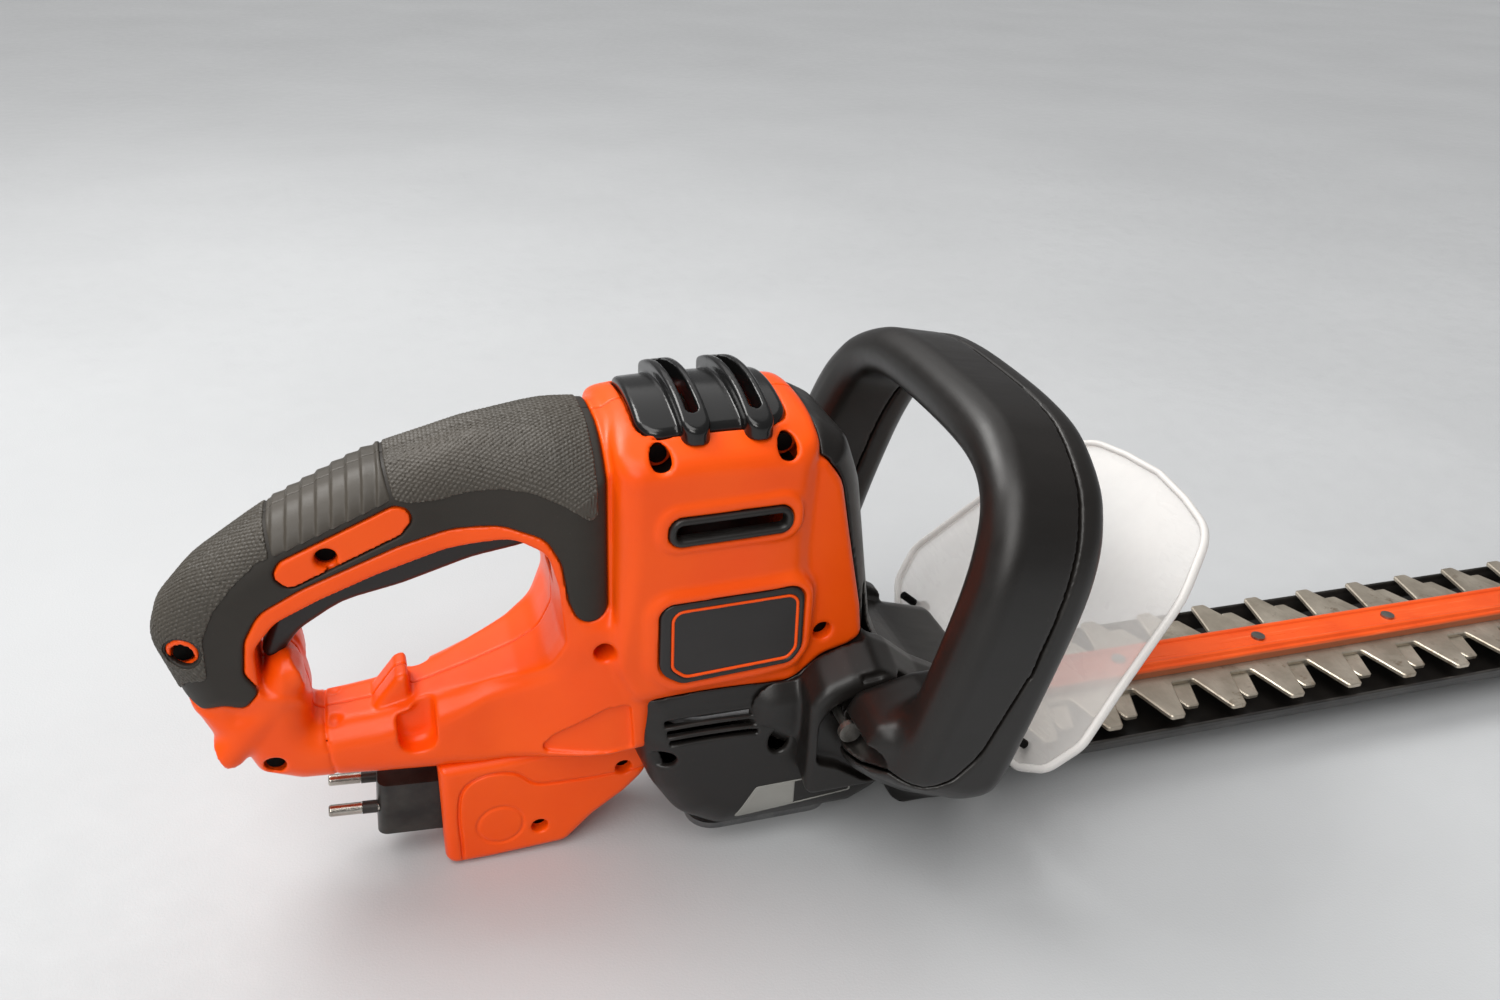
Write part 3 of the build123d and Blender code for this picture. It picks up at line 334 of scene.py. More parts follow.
def dress_cad_nodes():
    """Finish the CAD's own pieces; screws that only show as dark holes are painted near black, as painted shade in
    their holes.
    """
    for name, node in frame["nodes"].items():
        for holder in node.material_slots:
            dark_in_hole = "screw" in name and name != "bail_pivot_screws"
            holder.material = FINISHES["black_screw" if dark_in_hole else SLOT_OF[name]]


# ---------------------------------------------------------------- solid shapes from distance fields

STEP_SCALE = 1.0
GRID_SHIFT = 0.37       # keeps a grid's points off the round numbers where flat faces lie
FLAT_PAD, FLAT_PITCH = 30.0, 0.7
ARC_STEP, CURVE_STEPS = 0.16, 8


def rounded(points):
    """A closed outline whose corner k, (u, v, radius), is an arc of that radius, as an N x 2 array."""
    out = []
    count = len(points)
    for k in range(count):
        before, here, after = (np.array(points[(k + d) % count][:2], float) for d in (-1, 0, 1))
        radius = points[k][2]
        to_before, to_after = before - here, after - here
        len_b, len_a = np.linalg.norm(to_before), np.linalg.norm(to_after)
        to_before, to_after = to_before / len_b, to_after / len_a
        angle = np.arccos(np.clip(to_before @ to_after, -1, 1))
        if radius <= 0 or angle > pi - 0.02:
            out.append(here)
            continue
        cut = min(radius / np.tan(angle / 2), 0.48 * len_b, 0.48 * len_a)
        radius = cut * np.tan(angle / 2)
        middle = here + (to_before + to_after) / np.linalg.norm(to_before + to_after) * (radius / sin(angle / 2))
        start, end = here + to_before * cut, here + to_after * cut
        a0 = np.arctan2(*(start - middle)[::-1])
        sweep = (np.arctan2(*(end - middle)[::-1]) - a0 + pi) % (2 * pi) - pi
        pieces = max(2, int(abs(sweep) / ARC_STEP))
        for t in np.linspace(0, 1, pieces + 1):
            out.append(middle + radius * np.array((cos(a0 + sweep * t), sin(a0 + sweep * t))))
    return np.array(out)


def through(points, closed=True):
    """A smooth curve that passes through every point."""
    p = np.array(points, float)
    n = len(p)
    legs = n if closed else n - 1
    out = []
    for k in range(legs):
        if closed:
            a, b, c, d = p[k - 1], p[k], p[(k + 1) % n], p[(k + 2) % n]
        else:
            a, b, c, d = p[max(k - 1, 0)], p[k], p[k + 1], p[min(k + 2, n - 1)]
        for t in np.arange(CURVE_STEPS) / CURVE_STEPS:
            out.append(0.5 * (2 * b + (c - a) * t + (2 * a - 5 * b + 4 * c - d) * t * t
                              + (3 * b - a - 3 * c + d) * t ** 3))
    if not closed:
        out.append(p[-1])
    return np.array(out)


def flat_distance(u, v, outline, closed=True):
    """The distance from points u, v to an outline, negative inside when it is closed."""
    best = np.full(u.shape, 1e9)
    inside = np.zeros(u.shape, bool)
    last = len(outline) if closed else len(outline) - 1
    for k in range(last):
        (ax, ay), (bx, by) = outline[k], outline[(k + 1) % len(outline)]
        ex, ey = bx - ax, by - ay
        if ex == 0 and ey == 0:
            continue
        wx, wy = u - ax, v - ay
        t = np.clip((wx * ex + wy * ey) / (ex * ex + ey * ey), 0, 1)
        best = np.minimum(best, (wx - ex * t) ** 2 + (wy - ey * t) ** 2)
        if closed:
            crosses = (ay <= v) != (by <= v)
            if ey != 0:
                inside ^= crosses & (u < ax + (v - ay) * ex / ey)
    best = np.sqrt(best)
    return np.where(inside, -best, best) if closed else best


def with_mirror(half):
    """Points that end on the middle line, followed by their mirror image."""
    return half + [(-point[0], *point[1:]) for point in reversed(half[:-1])]


class Flat:
    """A distance to an outline, worked out once on a fine flat grid and read off anywhere."""

    def __init__(self, outline, closed=True):
        self.low, high = outline.min(0) - FLAT_PAD, outline.max(0) + FLAT_PAD
        self.nu, self.nv = (int(c) + 2 for c in (high - self.low) / FLAT_PITCH)
        u, v = np.meshgrid(self.low[0] + FLAT_PITCH * np.arange(self.nu), self.low[1] + FLAT_PITCH * np.arange(self.nv),
                           indexing="ij")
        self.grid = flat_distance(u, v, outline, closed)

    def __call__(self, u, v):
        a = np.clip((u - self.low[0]) / FLAT_PITCH, 0, self.nu - 1.001)
        b = np.clip((v - self.low[1]) / FLAT_PITCH, 0, self.nv - 1.001)
        i, j = a.astype(int), b.astype(int)
        a, b = a - i, b - j
        g = self.grid
        return (g[i, j] * (1 - a) * (1 - b) + g[i + 1, j] * a * (1 - b) + g[i, j + 1] * (1 - a) * b
                + g[i + 1, j + 1] * a * b)


def prism(flat, across, round_edge=0.0):
    """The solid with the flat distance as its outline and across as its distance through the thickness."""
    a, b = flat + round_edge, across + round_edge
    return np.minimum(np.maximum(a, b), 0) + np.hypot(np.maximum(a, 0), np.maximum(b, 0)) - round_edge


def join(a, b, soft=0.0):
    if soft <= 0:
        return np.minimum(a, b)
    h = np.clip(0.5 + 0.5 * (b - a) / soft, 0, 1)
    return b + (a - b) * h - soft * h * (1 - h)


def cut(a, b, soft=0.0):
    return -join(-a, b, soft)


def meet(a, b, soft=0.0):
    return -join(-a, -b, soft)


def egg(X, Y, Z, centre, reach):
    """Roughly the distance to an ellipsoid that reaches that far along each axis."""
    run = np.sqrt(sum(((P - c) / r) ** 2 for P, c, r in zip((X, Y, Z), centre, reach)))
    return (run - 1.0) * min(reach)


def rod(P, Q, radius):
    return np.hypot(P, Q) - radius


def ease(x, low, high):
    t = np.clip((x - low) / (high - low), 0, 1)
    return t * t * (3 - 2 * t)


CORNERS = [(i, j, k) for i in (0, 1) for j in (0, 1) for k in (0, 1)]
EDGES = [(a, b) for a in range(8) for b in range(a + 1, 8)
         if sum(abs(CORNERS[a][c] - CORNERS[b][c]) for c in range(3)) == 1]


def skin(field, low, pitch):
    """The zero surface of a field on a grid: one point in each cell it passes, one quad round each edge it cuts."""
    inside = field < 0
    nx, ny, nz = field.shape
    def part(grid, c):
        return grid[c[0]:nx - 1 + c[0], c[1]:ny - 1 + c[1], c[2]:nz - 1 + c[2]]
    count = sum(part(inside, c).astype(np.int8) for c in CORNERS)
    mixed = (count > 0) & (count < 8)
    number = np.full(mixed.shape, -1, np.int64)
    cells = np.argwhere(mixed)
    number[mixed] = np.arange(len(cells))
    value = [part(field, c)[mixed] for c in CORNERS]
    total = np.zeros((len(cells), 3))
    uses = np.zeros(len(cells))
    for a, b in EDGES:
        crossed = (value[a] < 0) != (value[b] < 0)
        with np.errstate(divide="ignore", invalid="ignore"):
            t = np.where(crossed, value[a] / (value[a] - value[b]), 0.0)
        point = np.array(CORNERS[a]) + t[:, None] * (np.array(CORNERS[b]) - np.array(CORNERS[a]))
        total += np.where(crossed[:, None], point, 0.0)
        uses += crossed
    places = np.array(low) + pitch * (cells + total / uses[:, None])
    quads = []
    for axis in range(3):
        one = [slice(None)] * 3
        two = [slice(None)] * 3
        one[axis], two[axis] = slice(0, -1), slice(1, None)
        first, second = inside[tuple(one)], inside[tuple(two)]
        others = [c for c in range(3) if c != axis]
        for sign in (True, False):
            spots = np.argwhere((first == sign) & (second != sign))
            keep = (spots[:, others[0]] > 0) & (spots[:, others[1]] > 0)
            for c in others:
                keep &= spots[:, c] < field.shape[c] - 1
            spots = spots[keep]
            ring = []
            for du, dv in ((-1, -1), (0, -1), (0, 0), (-1, 0)):
                where = spots.copy()
                where[:, others[0]] += du
                where[:, others[1]] += dv
                ring.append(number[where[:, 0], where[:, 1], where[:, 2]])
            face = np.stack(ring, 1)
            flip = sign == (axis == 1)
            quads.append(face[:, ::-1] if flip else face)
    return places, np.concatenate(quads)


def solid(name, low, high, pitch, shape, slot, body, stands_for=()):
    """One piece from a distance field: shape(X, Y, Z) in design millimetres, meshed, finished, named and mounted."""
    pitch = pitch * STEP_SCALE
    low, high = np.array(low, float), np.array(high, float)
    low = np.round(low / pitch) * pitch + pitch * GRID_SHIFT
    sizes = [int(np.ceil((high[c] - low[c]) / pitch)) + 1 for c in range(3)]
    X, Y, Z = np.meshgrid(*(low[c] + pitch * np.arange(sizes[c]) for c in range(3)), indexing="ij", sparse=True)
    field = np.broadcast_to(shape(X, Y, Z), sizes).astype(np.float32)
    field = np.pad(field[1:-1, 1:-1, 1:-1], 1, constant_values=pitch)
    places, quads = skin(field, low, pitch)
    places = (places + np.array((SHIFT_X, 0.0, 0.0))) * MM
    mesh = bpy.data.meshes.new(name)
    mesh.vertices.add(len(places))
    mesh.vertices.foreach_set("co", places.ravel())
    mesh.loops.add(quads.size)
    mesh.loops.foreach_set("vertex_index", quads.ravel().astype(np.int32))
    mesh.polygons.add(len(quads))
    mesh.polygons.foreach_set("loop_start", np.arange(0, quads.size, 4, dtype=np.int32))
    mesh.update(calc_edges=True)
    mesh.validate()
    mesh.polygons.foreach_set("use_smooth", np.ones(len(mesh.polygons), bool))
    return mount(name, mesh, slot, body, stands_for)


def mount(name, mesh, slot, body, stands_for=()):
    """Put a mesh in the scene as one named piece, finished and riding on its body."""
    obj = put_in_scene(name, mesh)
    mesh.materials.append(FINISHES[slot])
    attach(obj, body)
    if stands_for:
        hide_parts(*stands_for)
    return obj


def mirror_of(obj, name, slot, body, stands_for=()):
    """The same piece on the other side of the middle plane."""
    mesh = obj.data.copy()
    mesh.name = name
    mesh.transform(Matrix.Scale(-1.0, 4, (0, 1, 0)))
    mesh.flip_normals()
    mesh.materials.clear()
    return mount(name, mesh, slot, body, stands_for)


# ---------------------------------------------------------------- rear housing, both halves

HULL = rounded([(-30, 193, 0), (-62, 195.5, 60), (-92, 191.5, 80), (-128, 181.5, 90), (-164, 163.5, 90),
                (-190, 146, 40), (-207, 127, 16), (-197, 90, 6), (-180, 84, 3), (-120, 84, 0), (-30, 84, 0)])
OPENING = rounded([(-172, 97, 5), (-171.5, 118, 9), (-163, 128, 12), (-147, 135.5, 50), (-126, 143.5, 60),
                   (-103, 150.5, 30), (-78, 155.5, 12), (-66.5, 150, 8), (-63, 136, 16), (-61, 112, 10), (-67, 99, 12),
                   (-78, 93, 14), (-97, 86, 20), (-120, 78, 4), (-155, 74, 2), (-158, 92, 4)])
SOFT_EDGE = rounded([(-44.5, 215, 0), (-44.5, 121, 9), (-56, 120, 7), (-60, 130, 8), (-62, 146, 10), (-67, 156, 8),
                     (-82, 160.5, 14), (-100, 158.8, 40), (-118, 154, 60), (-153, 140.5, 60), (-168, 132.5, 12),
                     (-174, 122, 10), (-176, 108, 6), (-171.5, 100, 4), (-178, 91.5, 4), (-185, 94.5, 5), (-192, 92, 5),
                     (-200, 98, 2), (-230, 110, 0), (-230, 215, 0)])
ARM = rounded([(-197, 93, 3), (-191.5, 78, 8), (-187.5, 67, 3), (-181.5, 67.5, 2), (-178, 58, 6), (-163, 51.5, 12),
               (-134, 49.3, 20), (-112, 48.8, 8), (-70, 52, 4), (-28, 56, 4), (-26, 110, 4), (-34, 122, 4),
               (-59, 122, 3), (-61, 111, 10), (-67, 100, 14), (-78, 93.5, 14), (-96, 87, 24), (-112, 82.5, 24),
               (-133, 77.5, 14), (-156, 75.5, 3), (-156.5, 92, 5), (-158, 104, 5), (-162, 111, 3), (-168, 107.5, 4),
               (-172, 98, 6), (-178, 92, 5), (-186, 95, 5)])
BODY = rounded([(-42, 199, 12), (-43, 100, 12), (-36, 84, 10), (-22, 74, 22), (2, 70, 30), (24, 74.5, 14),
                (33, 86, 12), (35, 150, 60), (37, 200, 8)])
FLANGE = rounded([(20, 181, 6), (38, 180.5, 7), (46, 170, 16), (51, 146, 40), (58.5, 112, 40), (60.5, 97, 5),
                  (54, 93.5, 5), (43, 91, 10), (32, 82, 8), (20, 84, 4)])
VENT = rounded([(-26.5, 153, 6), (-25, 167, 6), (25.5, 169, 6), (26, 154, 6)])
VENT_HOLE = rounded([(-24.8, 153, 5.6), (-23.6, 165.4, 5.6), (24.2, 166.6, 5.6), (24.4, 154.6, 5.6)])
BADGE = rounded([(-27, 128.5, 6), (31, 130.2, 6), (31.4, 101, 8), (27, 94.4, 6), (-18, 91.6, 7), (-27, 97.5, 9)])
COVER_PLAN = rounded([(-32.5, -28.5, 9), (25.5, -27, 9), (25.5, 27, 9), (-32.5, 28.5, 9)])
TRIANGLE = rounded([(-74, 57.5, 3), (-66, 67, 4), (-47, 80, 4), (-37, 81.5, 3), (-35.5, 57.5, 3)])
LOZENGE = rounded([(-161.5, 147.5, 5), (-158, 143.2, 3), (-155, 142.5, 3), (-117, 159, 4), (-112.5, 164.5, 4),
                   (-114.5, 169.5, 4), (-119, 170, 3), (-158.5, 152.6, 4)])
FIN = rounded([(-134, 72, 0), (-133, 79, 3), (-124, 90.5, 3), (-119.5, 91.5, 1.6), (-119, 70, 0)])
NOTCH = rounded([(-125.5, 61, 6.6), (-111, 63, 6.6), (-110.5, 104, 0), (-118.6, 104, 0), (-119, 79, 2),
                 (-125.5, 77, 2)])
HOOK_START, HOOK_RUN, HOOK_RADIUS = np.array((-159.0, 10.5, 103.0)), np.array((-28.0, 3.0, -32.0)), 6.9
SCREW_HOLE, SCREW_SEAT, SCREW_CORE = 3.9, 6.2, 2.0
HOLES = [(-26, 187, 27.6), (22, 187, 27.6), (42, 103, 27.6), (-47, 107, 11.6), (-143, 152.5, 11.6), (-195, 118, 11.6),
         (-171, 64, 11.6)]
HANDLE_HALF, BODY_SIDE = 19.4, 40.0


def handle_half(X):
    return HANDLE_HALF + 16.6 * ease(X, -104.0, -42.0)


def arm_half(X):
    return 18.6 + 3.4 * ease(X, -150.0, -95.0) + 13.5 * ease(X, -92.0, -42.0)


def end_hole(X, Z, radius):
    """The round hole at the grip's rear end."""
    return rod(X + 195.0, Z - 120.0, radius)


def grip_hull(X, Y, Z):
    half = handle_half(X)
    return prism(Flat(HULL)(X, Z), np.abs(Y) - half, half - 4.6)


def arm_hull(X, Y, Z):
    bevel = 11.0 - 4.0 * ease(X, -110.0, -90.0)
    return prism(Flat(ARM)(X, Z), np.abs(Y) - arm_half(X), bevel)


def crown(X, Y, Z):
    """The distance from the motor's axis, which sags towards both ends."""
    return np.hypot(Y, Z - 136.0 + 0.0018 * (X + 4.0) ** 2)


def body_hull(X, Y, Z):
    side = BODY_SIDE - 1.3 * ease(X, 10.0, 34.0) - 1.6 * ease(Z, 120.0, 84.0)
    bevel = 3.5 + 6.5 * ease(Z, 100.0, 150.0)
    block = prism(Flat(BODY)(X, Z), np.abs(Y) - side, bevel)
    block = meet(block, crown(X, Y, Z) - 64.0, 5.0)
    return join(block, prism(Flat(FLANGE)(X, Z), np.abs(Y) - 35.6 + 0.05 * (X - 34.0), 3.0), 2.2)


def inside_room(X, Y, Z):
    body = np.maximum(prism(Flat(BODY)(X, Z) + 3.0, np.abs(Y) - 36.6, 6.0), crown(X, Y, Z) - 60.8)
    grip = prism(np.maximum(Flat(HULL)(X, Z) + 6.0, -Flat(OPENING)(X, Z) + 1.5), np.abs(Y) - 13.0, 2.0)
    arm = prism(Flat(ARM)(X, Z) + 4.0, np.abs(Y) - 6.0 - 9.0 * ease(np.abs(X + 118.0), 9.0, 15.0), 2.0)
    slot = np.maximum(np.maximum(Flat(OPENING)(X, Z) - 9.0, np.abs(Y) - 9.4), 126.0 - Z)
    return join(join(join(body, grip), arm), slot)


def housing_half(X, Y, Z):
    hull = grip_hull(X, Y, Z)
    soft_zone = Flat(SOFT_EDGE)(X, Z)
    core = join(hull + 2.7, np.maximum(hull + 0.25, -soft_zone))
    core = join(core, np.maximum(hull + 0.1, Flat(LOZENGE)(X, Z)), 0.6)
    ring = np.abs(end_hole(X, Z, 4.6)) - 1.0
    core = join(core, np.maximum(hull + 0.5, ring))
    opening = prism(Flat(OPENING)(X, Z), np.abs(Y) - 60.0)
    core = cut(core, opening, 1.6)
    arm = arm_hull(X, Y, Z)
    arm = cut(arm, np.maximum(hull - 0.3, soft_zone - 0.4))
    fin = prism(Flat(FIN)(X, Z), np.abs(Y) - 9.5, 3.0)
    arm = join(arm, fin, 1.5)
    notch = prism(Flat(NOTCH)(X, Z), np.abs(np.abs(Y) - 21.0) - 9.4, 3.6)
    arm = cut(arm, notch, 1.2)
    from_start = (X - HOOK_START[0], np.abs(Y) - HOOK_START[1], Z - HOOK_START[2])
    share = np.clip(sum(d * r for d, r in zip(from_start, HOOK_RUN)) / (HOOK_RUN @ HOOK_RUN), 0.0, 1.0)
    pipe = np.sqrt(sum((d - share * r) ** 2 for d, r in zip(from_start, HOOK_RUN))) - HOOK_RADIUS
    arm = join(arm, np.maximum(pipe, Flat(ARM)(X, Z) - 0.6), 2.4)
    arm = cut(arm, egg(X, np.abs(Y), Z, (-148.5, 10.5, 93.0), (8.2, 11.0, 18.5)), 0.5)
    arm = cut(arm, egg(X, np.abs(Y), Z, (-188.0, 25.5, 88.0), (9.0, 8.0, 6.0)), 2.0)
    pocket = prism(Flat(TRIANGLE)(X, Z), np.abs(np.abs(Y) - 44.0) - 44.0 + arm_half(X) - 2.6, 0.4)
    arm = cut(arm, pocket, 0.8)
    seam = np.maximum(np.abs(X + 151.0 + 0.10 * (Z - 65.0)) - 0.55, -(arm + 0.8))
    arm = cut(arm, np.maximum(seam, 51.0 - Z))
    body = body_hull(X, Y, Z)
    body = join(body, prism(Flat(VENT)(X, Z) - 2.6, np.abs(Y) - 41.0, 1.6), 1.8)
    frame_lift = prism(Flat(BADGE)(X, Z) - 4.2, np.abs(Y) - 41.6 + 0.05 * np.abs(Z - 128.0), 2.4)
    body = join(body, frame_lift, 4.0)
    body = cut(body, prism(Flat(BADGE)(X, Z) - 0.4, np.abs(np.abs(Y) - 50.0) - 11.2, 0.6), 1.0)
    whole = join(join(body, core, 2.0), arm, 3.5)
    whole = cut(whole, inside_room(X, Y, Z))
    whole = cut(whole, prism(Flat(VENT_HOLE)(X, Z), np.abs(Y) - 60.0), 0.5)
    whole = cut(whole, np.maximum(Flat(COVER_PLAN)(X, Y) - 0.3, 190.0 - Z), 0.8)
    for x, z, deep in HOLES:
        whole = cut(whole, np.maximum(rod(X - x, Z - z, SCREW_HOLE), deep - np.abs(Y)), 1.6)
        seat = np.maximum(rod(X - x, Z - z, SCREW_SEAT), np.abs(Y) - deep)
        whole = join(whole, np.maximum(seat, -rod(X - x, Z - z, SCREW_CORE)))
    return np.maximum(whole, Y + 0.1)


def soft_half(X, Y, Z):
    hull = grip_hull(X, Y, Z)
    pad = prism(Flat(SOFT_EDGE)(X, Z) + 0.35, hull, 1.1)
    pad = cut(pad, hull + 2.6)
    pad = cut(pad, Flat(LOZENGE)(X, Z) - 0.5, 0.9)
    pad = cut(pad, end_hole(X, Z, 5.6))
    return np.maximum(pad, Y + 0.1)


# ---------------------------------------------------------------- bale handle

LEAN = radians(16.6)
RING_FOOT_X, RING_FOOT_Z = 64.7, 30.0
RING_OUT = through(with_mirror([(-96, -40), (-98, 30), (-98.5, 90), (-97, 122), (-92, 142), (-83, 156), (-74, 164),
                                (-60, 171.5), (-46, 176), (-25, 178.3), (0, 178.8)]))
RING_IN = through(with_mirror([(-72, -40), (-75, 60), (-74.5, 100), (-71, 128), (-62, 146), (-42, 154.5), (0, 156.5)]))
GAP = rounded([(20, 66, 0), (38, 71, 3), (45, 61, 8), (53, 54, 8), (64, 48.5, 10), (76, 46, 10), (87, 48.5, 8),
               (97, 58, 20), (103, 72, 14), (112, 92, 0), (180, 92, 0), (180, -10, 0), (20, -10, 0)])
ROOT = rounded([(44, 60, 8), (44.5, 76, 8), (50, 86, 8), (62, 89, 8), (74, 92, 6), (92, 92, 6), (100, 60, 8),
                (86, 40, 8), (58, 40, 8), (42, 50, 6)])
BOWL = rounded([(20, 110, 0), (31, 78, 4), (41, 66, 14), (52, 56.5, 14), (65, 48.5, 14), (82, 41.5, 16), (95, 41.5, 12),
                (103, 52, 14), (140, 150, 0), (192, 292, 0), (20, 292, 0)])


LOBE = rounded([(50, 50, 3), (60, 43.5, 4), (88, 40.5, 8), (98, 50, 6), (105, 52, 4), (114, 48, 6), (124, 34, 10),
                (125, 8, 8), (112, 2, 8), (98, 2, 10), (60, 20, 10)])
PAN = rounded([(64, 16.8, 0), (122, 16.8, 0), (122, 3, 3), (116, 0, 4), (80, 0, 10)])
PIVOT_X, PIVOT_Z = 46.0, 72.0


def bale_frame(X, Z):
    """Places in the leaning handle's own frame: n out of its plane, s up its slope."""
    x, z = X - RING_FOOT_X, Z - RING_FOOT_Z
    return x * cos(LEAN) - z * sin(LEAN), x * sin(LEAN) + z * cos(LEAN)


def bale_hull(X, Y, Z):
    """The whole front handle: a leaning ring, its two roots and the saddle under them, with a bowl-shaped underside."""
    n, s = bale_frame(X, Z)
    side = np.abs(Y)
    lowered = s + 0.10 * (20.0 - n) * ease(s, 70.0, 135.0)
    outer = Flat(RING_OUT)(Y, lowered) - 0.01 * (n + 20.0)
    ring = prism(cut(outer, Flat(RING_IN)(Y, lowered)), np.abs(n - 1.2) - 23.4, 10.5)
    root = prism(Flat(ROOT)(X, Z), np.abs(side - 67.5) - 16.5, 8.0)
    whole = join(ring, root, 9.0)
    lobe = np.maximum(prism(Flat(LOBE)(X, Z), side - 84.0, 6.0), 46.5 - side)
    pan = np.maximum(prism(Flat(PAN)(X, Z), side - 48.0, 3.0), 3.0 - Z)
    under = np.minimum(side - 75.0, 0.0)
    slide = np.maximum(under, -38.0)
    dish = slide + 0.013 * np.maximum(side - 60.0, 0.0) ** 2
    whole = join(join(whole, lobe, 3.0), pan, 2.0)
    whole = meet(whole, Flat(BOWL)(X + 0.63 * slide, Z - dish), 5.0)
    pad = np.hypot(np.maximum(np.abs(X - 101.0) - 9.5, 0.0), np.maximum(side - 28.5, 0.0)) - 7.2
    whole = join(whole, prism(pad, np.abs(Z - 11.2) - 9.8, 3.0), 5.0)
    return cut(whole, np.maximum(rod(X - PIVOT_X, Z - PIVOT_Z, 6.2), 55.0 - side))


def bale_split(X, Y, Z):
    """Below zero in the fixed part: under the gap line at the root, and in front of the seam round the ring."""
    n, s = bale_frame(X, Z)
    rise = np.clip(np.abs(Y) - 60.0, 0.0, 26.0)
    return join(Flat(GAP)(X + 0.5 * rise, Z - 0.85 * rise), 9.6 - n)


def bale_rear(X, Y, Z):
    hull = bale_hull(X, Y, Z)
    split = bale_split(X, Y, Z)
    whole = cut(hull, split - 0.75, 0.8)
    slot = np.maximum(np.abs(X - 77.0 - 0.25 * (Z - 110.0)) - 2.8, np.abs(Z - 110.0) - 6.0)
    return cut(whole, np.maximum(slot, np.abs(np.abs(Y) - 71.0) - 8.0))


def bale_front(X, Y, Z):
    hull = bale_hull(X, Y, Z)
    split = bale_split(X, Y, Z)
    whole = meet(hull, split + 0.35, 0.8)
    nose = np.maximum(np.maximum(np.abs(Y) - 46.0, 17.4 - Z), X - 126.0)
    return cut(whole, np.maximum(nose, Z - 110.0))


# ---------------------------------------------------------------- front housing, gear case, label

COWL = rounded([(8, 190, 2), (40, 190, 7), (51, 184, 12), (58, 165, 40), (64, 128, 40), (68.5, 100, 14),
                (77, 79, 12), (92, 70.5, 30), (125, 61, 5), (124, 44, 6), (120, 26, 8), (66, 22, 4), (8, 60, 4)])
ARCH = rounded([(33, 40, 4), (32.6, 85, 9), (39, 92.5, 9), (50, 96.5, 12), (61, 98.5, 7), (71, 93, 8), (84, 82, 10),
                (98, 74, 6), (98, 40, 6)])
ARCH_ROOM = rounded([(36.8, 50, 4), (36.8, 70, 8), (42, 78, 8), (51, 81.5, 8), (66, 84.5, 3), (72, 88, 3), (84, 84, 3),
                     (104, 84, 3), (104, 36, 3), (60, 36, 6), (46, 46, 6)])
CASE = rounded([(-40, 88, 4), (-37.8, 72, 10), (-33, 50, 20), (-27, 34, 20), (-17, 17, 16), (0, 6.5, 12), (62, 6.5, 8),
                (80, 16, 12), (84, 60, 8), (60, 96, 10), (-10, 96, 4)])
LABEL = rounded([(7.0, 17, 0.6), (16, 31.5, 1.6), (55.5, 32, 1.6), (58.5, 22, 0.6)])
LABEL_END = 33.0


def front_shell(X, Y, Z):
    side = np.abs(Y)
    half = 33.6 + 9.0 * ease(Z, 92.0, 72.0)
    cowl = prism(Flat(COWL)(X, Z), side - half, 17.0)
    lean = 0.40 * np.maximum(side - 36.0, 0.0)
    arch = np.maximum(prism(Flat(ARCH)(X, Z + lean), side - 53.2, 3.0), 30.0 - side)
    whole = join(cowl, arch, 2.5)
    over = np.minimum(Flat(FLANGE)(X, Z), Flat(BODY)(X, Z)) - 0.5
    whole = cut(whole, np.maximum(over, np.abs(side - 33.0) - 4.0))
    room = prism(Flat(ARCH_ROOM)(X, Z), np.abs(side - 60.0) - 12.6, 1.5)
    whole = cut(whole, room, 0.8)
    whole = cut(whole, body_hull(X, Y, Z) - 0.3)
    whole = cut(whole, np.maximum(np.maximum(Flat(COWL)(X, Z) + 4.0, side - 31.0), 61.0 - X))
    window = prism(np.maximum(np.abs(X - 61.0) - 7.0, np.abs(Z - 90.0 - 0.12 * (X - 61.0)) - 1.6),
                   np.abs(side - 54.0) - 3.0, 0.4)
    whole = cut(whole, window)
    whole = cut(whole, rod(X - PIVOT_X, Z - PIVOT_Z, 2.4))
    return cut(whole, np.maximum(np.maximum(side - 41.5, np.abs(Z - 30.5) - 7.0), 66.0 - X))


def case_hull(X, Y, Z):
    half = 36.2 + 4.4 * ease(Z, 76.0, 60.0)
    return prism(Flat(CASE)(X, Z), np.abs(Y) - half, 17.0)


def gear_shell(X, Y, Z):
    side = np.abs(Y)
    hull = case_hull(X, Y, Z)
    whole = np.maximum(hull, -(body_hull(X, Y, Z) - 0.3))
    for k in range(3):
        z = 70.0 - 3.9 * k
        tilt = Z - z + 0.01 * (X + 5.0) + 0.0016 * (X + 5.0) ** 2
        slit = prism(np.maximum(np.abs(X + 5.0 - 0.8 * k) - 18.5, np.abs(tilt) - 1.1), np.abs(side - 46.0) - 14.0, 1.0)
        whole = cut(whole, slit, 0.7)
    for x, z, wide, tall in ((-24.5, 53.0, 5.6, 4.2), (24.5, 54.5, 4.4, 6.0)):
        oval = (np.hypot((X - x) / wide, (Z - z) / tall) - 1.0) * min(wide, tall)
        dent = prism(oval, np.abs(side - 50.0) - 15.0, 1.0)
        whole = cut(whole, dent, 1.4)
    whole = cut(whole, np.maximum(hull + 3.2, 12.0 - Z))
    return cut(whole, np.maximum(np.maximum(side - 36.0, np.abs(Z - 34.0) - 16.0), 60.0 - X))


def label_panel(X, Y, Z):
    plan = np.maximum(Flat(LABEL)(X, Z), np.maximum(-X, X - LABEL_END))
    return np.maximum(prism(plan, np.abs(case_hull(X, Y, Z)) - 0.35, 0.2), Y)


def label_frame(X, Y, Z):
    plan = Flat(LABEL)(X, Z)
    return np.maximum(prism(np.abs(plan - 0.25) - 0.35, np.abs(case_hull(X, Y, Z)) - 0.4, 0.2), Y)


# ---------------------------------------------------------------- dome cover, bezels, badge, guard

